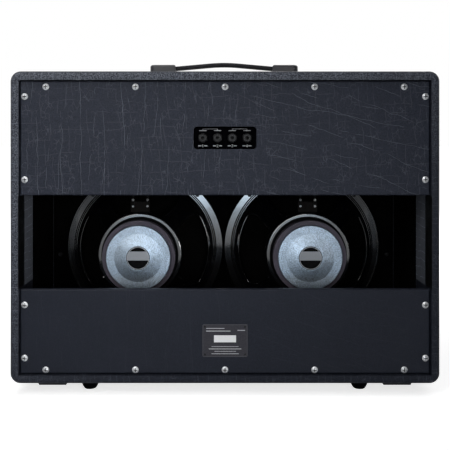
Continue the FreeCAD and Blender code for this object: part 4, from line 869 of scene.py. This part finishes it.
def terminal_solder():
    """Solder beads at the tops of the tags and eyelets at their feet."""
    bead = [(0.0, -0.0014), (0.0008, -0.0013), (0.0015, -0.0010), (0.0021, -0.0005), (0.0024, 0.0)]
    eyelet = [(0.0006, 0.0), (0.0007, -0.0006), (0.0011, -0.0009), (0.0016, -0.0008), (0.0020, -0.0004),
              (0.0021, 0.0)]
    bead_z = 0.3125
    eyelet_z = 0.3005
    tag_spread = 0.0136
    steps = 32
    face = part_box("terminal_tags")[0].y
    parts = []
    for sign in SIDES.values():
        for across in (-tag_spread, tag_spread):
            x = sign * DRIVER_X + across
            parts.append(lathe(bead, (x, face, bead_z), steps))
            parts.append(lathe(eyelet, (x, face, eyelet_z), steps))
    made = piece("terminal_solder", *gather(parts), "solder")
    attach(made, "cabinet")


def opened(node):
    """A node's mesh with its double points joined, to be freed after use."""
    source = bmesh.new()
    source.from_mesh(NODES[node].data)
    bmesh.ops.remove_doubles(source, verts=source.verts, dist=WELD_REACH)
    return source


def screw_places(node):
    """The middle of each screw in a group, as X and Z."""
    source = opened(node)
    left = set(source.verts)
    middles = []
    while left:
        island = []
        edge = [left.pop()]
        while edge:
            vert = edge.pop()
            island.append(vert.co.copy())
            for link in vert.link_edges:
                other = link.other_vert(vert)
                if other in left:
                    left.remove(other)
                    edge.append(other)
        xs = [place.x for place in island]
        zs = [place.z for place in island]
        middles.append(((min(xs) + max(xs)) / 2, (min(zs) + max(zs)) / 2))
    source.free()
    return sorted(middles)


def screw_recesses():
    """Dark crosses on the floors of the cross recesses in the rear panels' screws, as painted shade, dished
    to the middle.
    """
    reach = 0.00325
    arm = 0.00077
    rise = 0.00008
    dish = 0.00004
    rim_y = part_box("upper_rear_panel")[0].y - SCREW_RISE / 3 - rise
    corners = [(reach, arm), (arm, arm), (arm, reach), (-arm, reach), (-arm, arm), (-reach, arm),
               (-reach, -arm), (-arm, -arm), (-arm, -reach), (arm, -reach), (arm, -arm), (reach, -arm)]
    count = len(corners)
    parts = []
    for x, z in screw_places("rear_panel_screws"):
        points = [(x + across, rim_y, z + up) for across, up in corners]
        points.append((x, rim_y + dish, z))
        faces = [(index, (index + 1) % count, count) for index in range(count)]
        parts.append((points, faces))
    made = piece("screw_recesses", *gather(parts), "recess_grime", smooth=False)
    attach(made, "cabinet")


def window_runs(node):
    """The edges of a chassis's windows away from the magnet's seat, on the rear side of its sheet."""
    wall_tilt = 0.02
    sheet_tilt = -0.2
    source = opened(node)
    links = {}
    for edge in source.edges:
        if len(edge.link_faces) != 2:
            continue
        wall, sheet = sorted(edge.link_faces, key=lambda face: abs(face.normal.y))
        middle = (edge.verts[0].co + edge.verts[1].co) / 2
        reach = math.hypot(abs(middle.x) - DRIVER_X, middle.z - DRIVER_Z)
        upright = abs(wall.normal.y) < wall_tilt and sheet.normal.y < sheet_tilt
        if upright and WINDOW_INNER < reach < WINDOW_OUTER:
            first, last = (vert.index for vert in edge.verts)
            links.setdefault(first, []).append(last)
            links.setdefault(last, []).append(first)
    places = {vert.index: vert.co.copy() for vert in source.verts if vert.index in links}
    source.free()
    runs = []
    for end in sorted(index for index, others in links.items() if len(others) == 1):
        if end in links:
            run = [end]
            ahead = links.pop(end)
            while ahead:
                run.append(ahead[0])
                ahead = [other for other in links.pop(ahead[0]) if other in links]
            runs.append([places[index] for index in run])
    return runs


def window_edges():
    """The rolled edges round the windows of each chassis."""
    for side in SIDES:
        made = tube(f"{side}_window_edges", WINDOW_ROLL, 3, "chassis_paint")
        for run in window_runs(f"{side}_chassis"):
            spline = made.data.splines.new("POLY")
            spline.points.add(len(run) - 1)
            for point, place in zip(spline.points, run):
                point.co = (*place, 1)
        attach(made, "cabinet")


# The right-hand leads' routes from the jack board to the tags, in millimetres, and their lengths in metres
LEADS = {
    "inner": ([(30.0, -92.4, 429.0), (30.0, -68.4, 429.0), (64.0, -44.4, 413.0), (106.0, -16.4, 391.0),
               (143.4, 11.2, 358.0), (143.4, 11.2, 316.0)], 0.2177),
    "outer": ([(42.0, -92.4, 429.0), (42.0, -66.4, 429.0), (84.0, -44.4, 415.0), (132.0, -16.4, 393.0),
               (170.6, 11.2, 358.0), (170.6, 11.2, 316.0)], 0.2306),
}


def leads():
    """The four leads from the jack board to the driver tags, each on its route's points."""
    for side, sign in SIDES.items():
        for place, (route, length) in LEADS.items():
            made = tube(f"{side}_{place}_lead", LEAD_RADIUS, 4, "lead_insulation")
            made.data.resolution_u = 16
            spline = made.data.splines.new("NURBS")
            spline.points.add(len(route) - 1)
            for point, (x, y, z) in zip(spline.points, route):
                point.co = (sign * x / 1000, y / 1000, z / 1000, 1)
            spline.use_endpoint_u = True
            spline.order_u = 3
            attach(made, "cabinet")
            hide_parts("driver_leads")


grille()
jack_nuts()
jack_numbers()
jack_lines()
plate_rules()
blank_sticker()
terminal_solder()
screw_recesses()
window_edges()
leads()


# The studio: how much of the white sky and floor mirrors show, and the light that the sky gives
SKY_NEAR = 0.02
SKY_LIGHT = 0.06
SKY_TURN = (-0.25, 0.25)
FLOOR_REACH = 30.0
FLOOR_NEAR = 0.72
FLOOR_FADE = (0.40, 1.10)
FLOOR_TURN = (-0.2, 1.0)

# Each lamp's place, aim, power, width, height and spread
LAMPS = {
    "key": ((-0.75, -1.15, 1.15), (-0.25, -0.13, 0.47), 1.35, 0.7, 0.7, 1.1),
    "strip": ((0.0, -2.2, 0.16), (0.0, 0.0, 0.25), 2.93, 1.10, 0.20, math.pi),
    "front": ((-0.2, -2.4, 0.60), (0.0, 0.0, 0.35), 8.6, 1.6, 0.44, math.pi),
    "fill": ((1.2, -1.7, 0.45), (-0.36, -0.1, 0.30), 0.4, 0.5, 0.5, 0.5),
    "top": ((-0.4, -0.5, 1.7), (0.0, -0.1, 0.5), 8.0, 1.2, 0.8, math.pi),
    "grille": ((0.9, 2.2, 1.5), (0.0, 0.1, 0.3), 30.0, 1.4, 1.4, math.pi),
}
LAMP_TINTS = {"strip": (0.70, 0.85, 1.0)}


class Stage(Tree):
    """A node tree of the studio: its world or its floor."""

    def shown(self, place, turn, least):
        """A share of white: all for camera rays, and for mirrored ones growing to the object's far side."""
        y = self.node("ShaderNodeSeparateXYZ", {0: place}).outputs["Y"]
        behind = self.step(y, *turn, least, 1.0)
        rays = self.node("ShaderNodeLightPath").outputs
        mirrored = self.math("MAXIMUM", rays["Is Glossy Ray"], rays["Is Transmission Ray"])
        return self.math("MAXIMUM", rays["Is Camera Ray"], self.times(mirrored, behind))


def sky():
    """A white world that gives little light."""
    world = bpy.data.worlds.new("studio")
    bpy.context.scene.world = world
    world.use_nodes = True
    stage = Stage(world.node_tree)
    share = stage.shown(stage.node("ShaderNodeTexCoord").outputs["Generated"], SKY_TURN, SKY_NEAR)
    white = stage.node("ShaderNodeBackground", {"Color": (1, 1, 1, 1), "Strength": 1.0})
    dim = stage.node("ShaderNodeBackground", {"Color": (0.92, 0.95, 1.0, 1), "Strength": SKY_LIGHT})
    mixed = stage.node("ShaderNodeMixShader", {0: share, 1: dim.outputs[0], 2: white.outputs[0]})
    stage.node("ShaderNodeOutputWorld", {0: mixed.outputs[0]})


def ground():
    """A pale floor that runs out to white and keeps the object's shadow."""
    material = bpy.data.materials.new("floor")
    material.use_nodes = True
    stage = Stage(material.node_tree)
    place = stage.node("ShaderNodeTexCoord").outputs["Object"]
    share = stage.shown(place, FLOOR_TURN, 0.0)
    away = stage.node("ShaderNodeVectorMath", {0: place}, operation="LENGTH").outputs["Value"]
    white = stage.step(away, *FLOOR_FADE, FLOOR_NEAR, 1.0)
    glow = stage.node("ShaderNodeEmission", {"Strength": stage.times(share, white)})
    matt = stage.node("ShaderNodeBsdfDiffuse", {"Color": (0.80, 0.80, 0.80, 1)})
    both = stage.node("ShaderNodeAddShader", {0: matt.outputs[0], 1: glow.outputs[0]})
    stage.node("ShaderNodeOutputMaterial", {"Surface": both.outputs[0]})
    mesh = bpy.data.meshes.new("floor")
    corners = [(-FLOOR_REACH, -FLOOR_REACH, 0), (FLOOR_REACH, -FLOOR_REACH, 0),
               (FLOOR_REACH, FLOOR_REACH, 0), (-FLOOR_REACH, FLOOR_REACH, 0)]
    mesh.from_pydata(corners, [], [(0, 1, 2, 3)])
    mesh.materials.append(material)
    floor = placed("floor", mesh)


def lamps():
    """Soft lamps round the object."""
    for name, (at, aim, power, wide, tall, spread) in LAMPS.items():
        lamp = bpy.data.lights.new(name, "AREA")
        lamp.energy = power
        lamp.color = LAMP_TINTS.get(name, (1.0, 1.0, 1.0))
        lamp.shape = "RECTANGLE"
        lamp.size = wide
        lamp.size_y = tall
        lamp.spread = spread
        made = placed(name, lamp)
        made.location = at
        made.rotation_euler = (Vector(aim) - Vector(at)).to_track_quat("-Z", "Y").to_euler()
        made.visible_camera = False


def camera():
    """The photograph's view."""
    lens = bpy.data.cameras.new("camera")
    lens.sensor_width = CAMERA_SENSOR
    lens.lens = CAMERA_LENS
    lens.shift_x = CAMERA_SHIFT_X
    lens.shift_y = CAMERA_SHIFT_Y
    made = placed("camera", lens)
    made.location = CAMERA_AT
    made.rotation_euler = (math.pi / 2, 0, 0)
    bpy.context.scene.camera = made


sky()
ground()
lamps()
camera()
bpy.context.scene.view_settings.view_transform = "Standard"
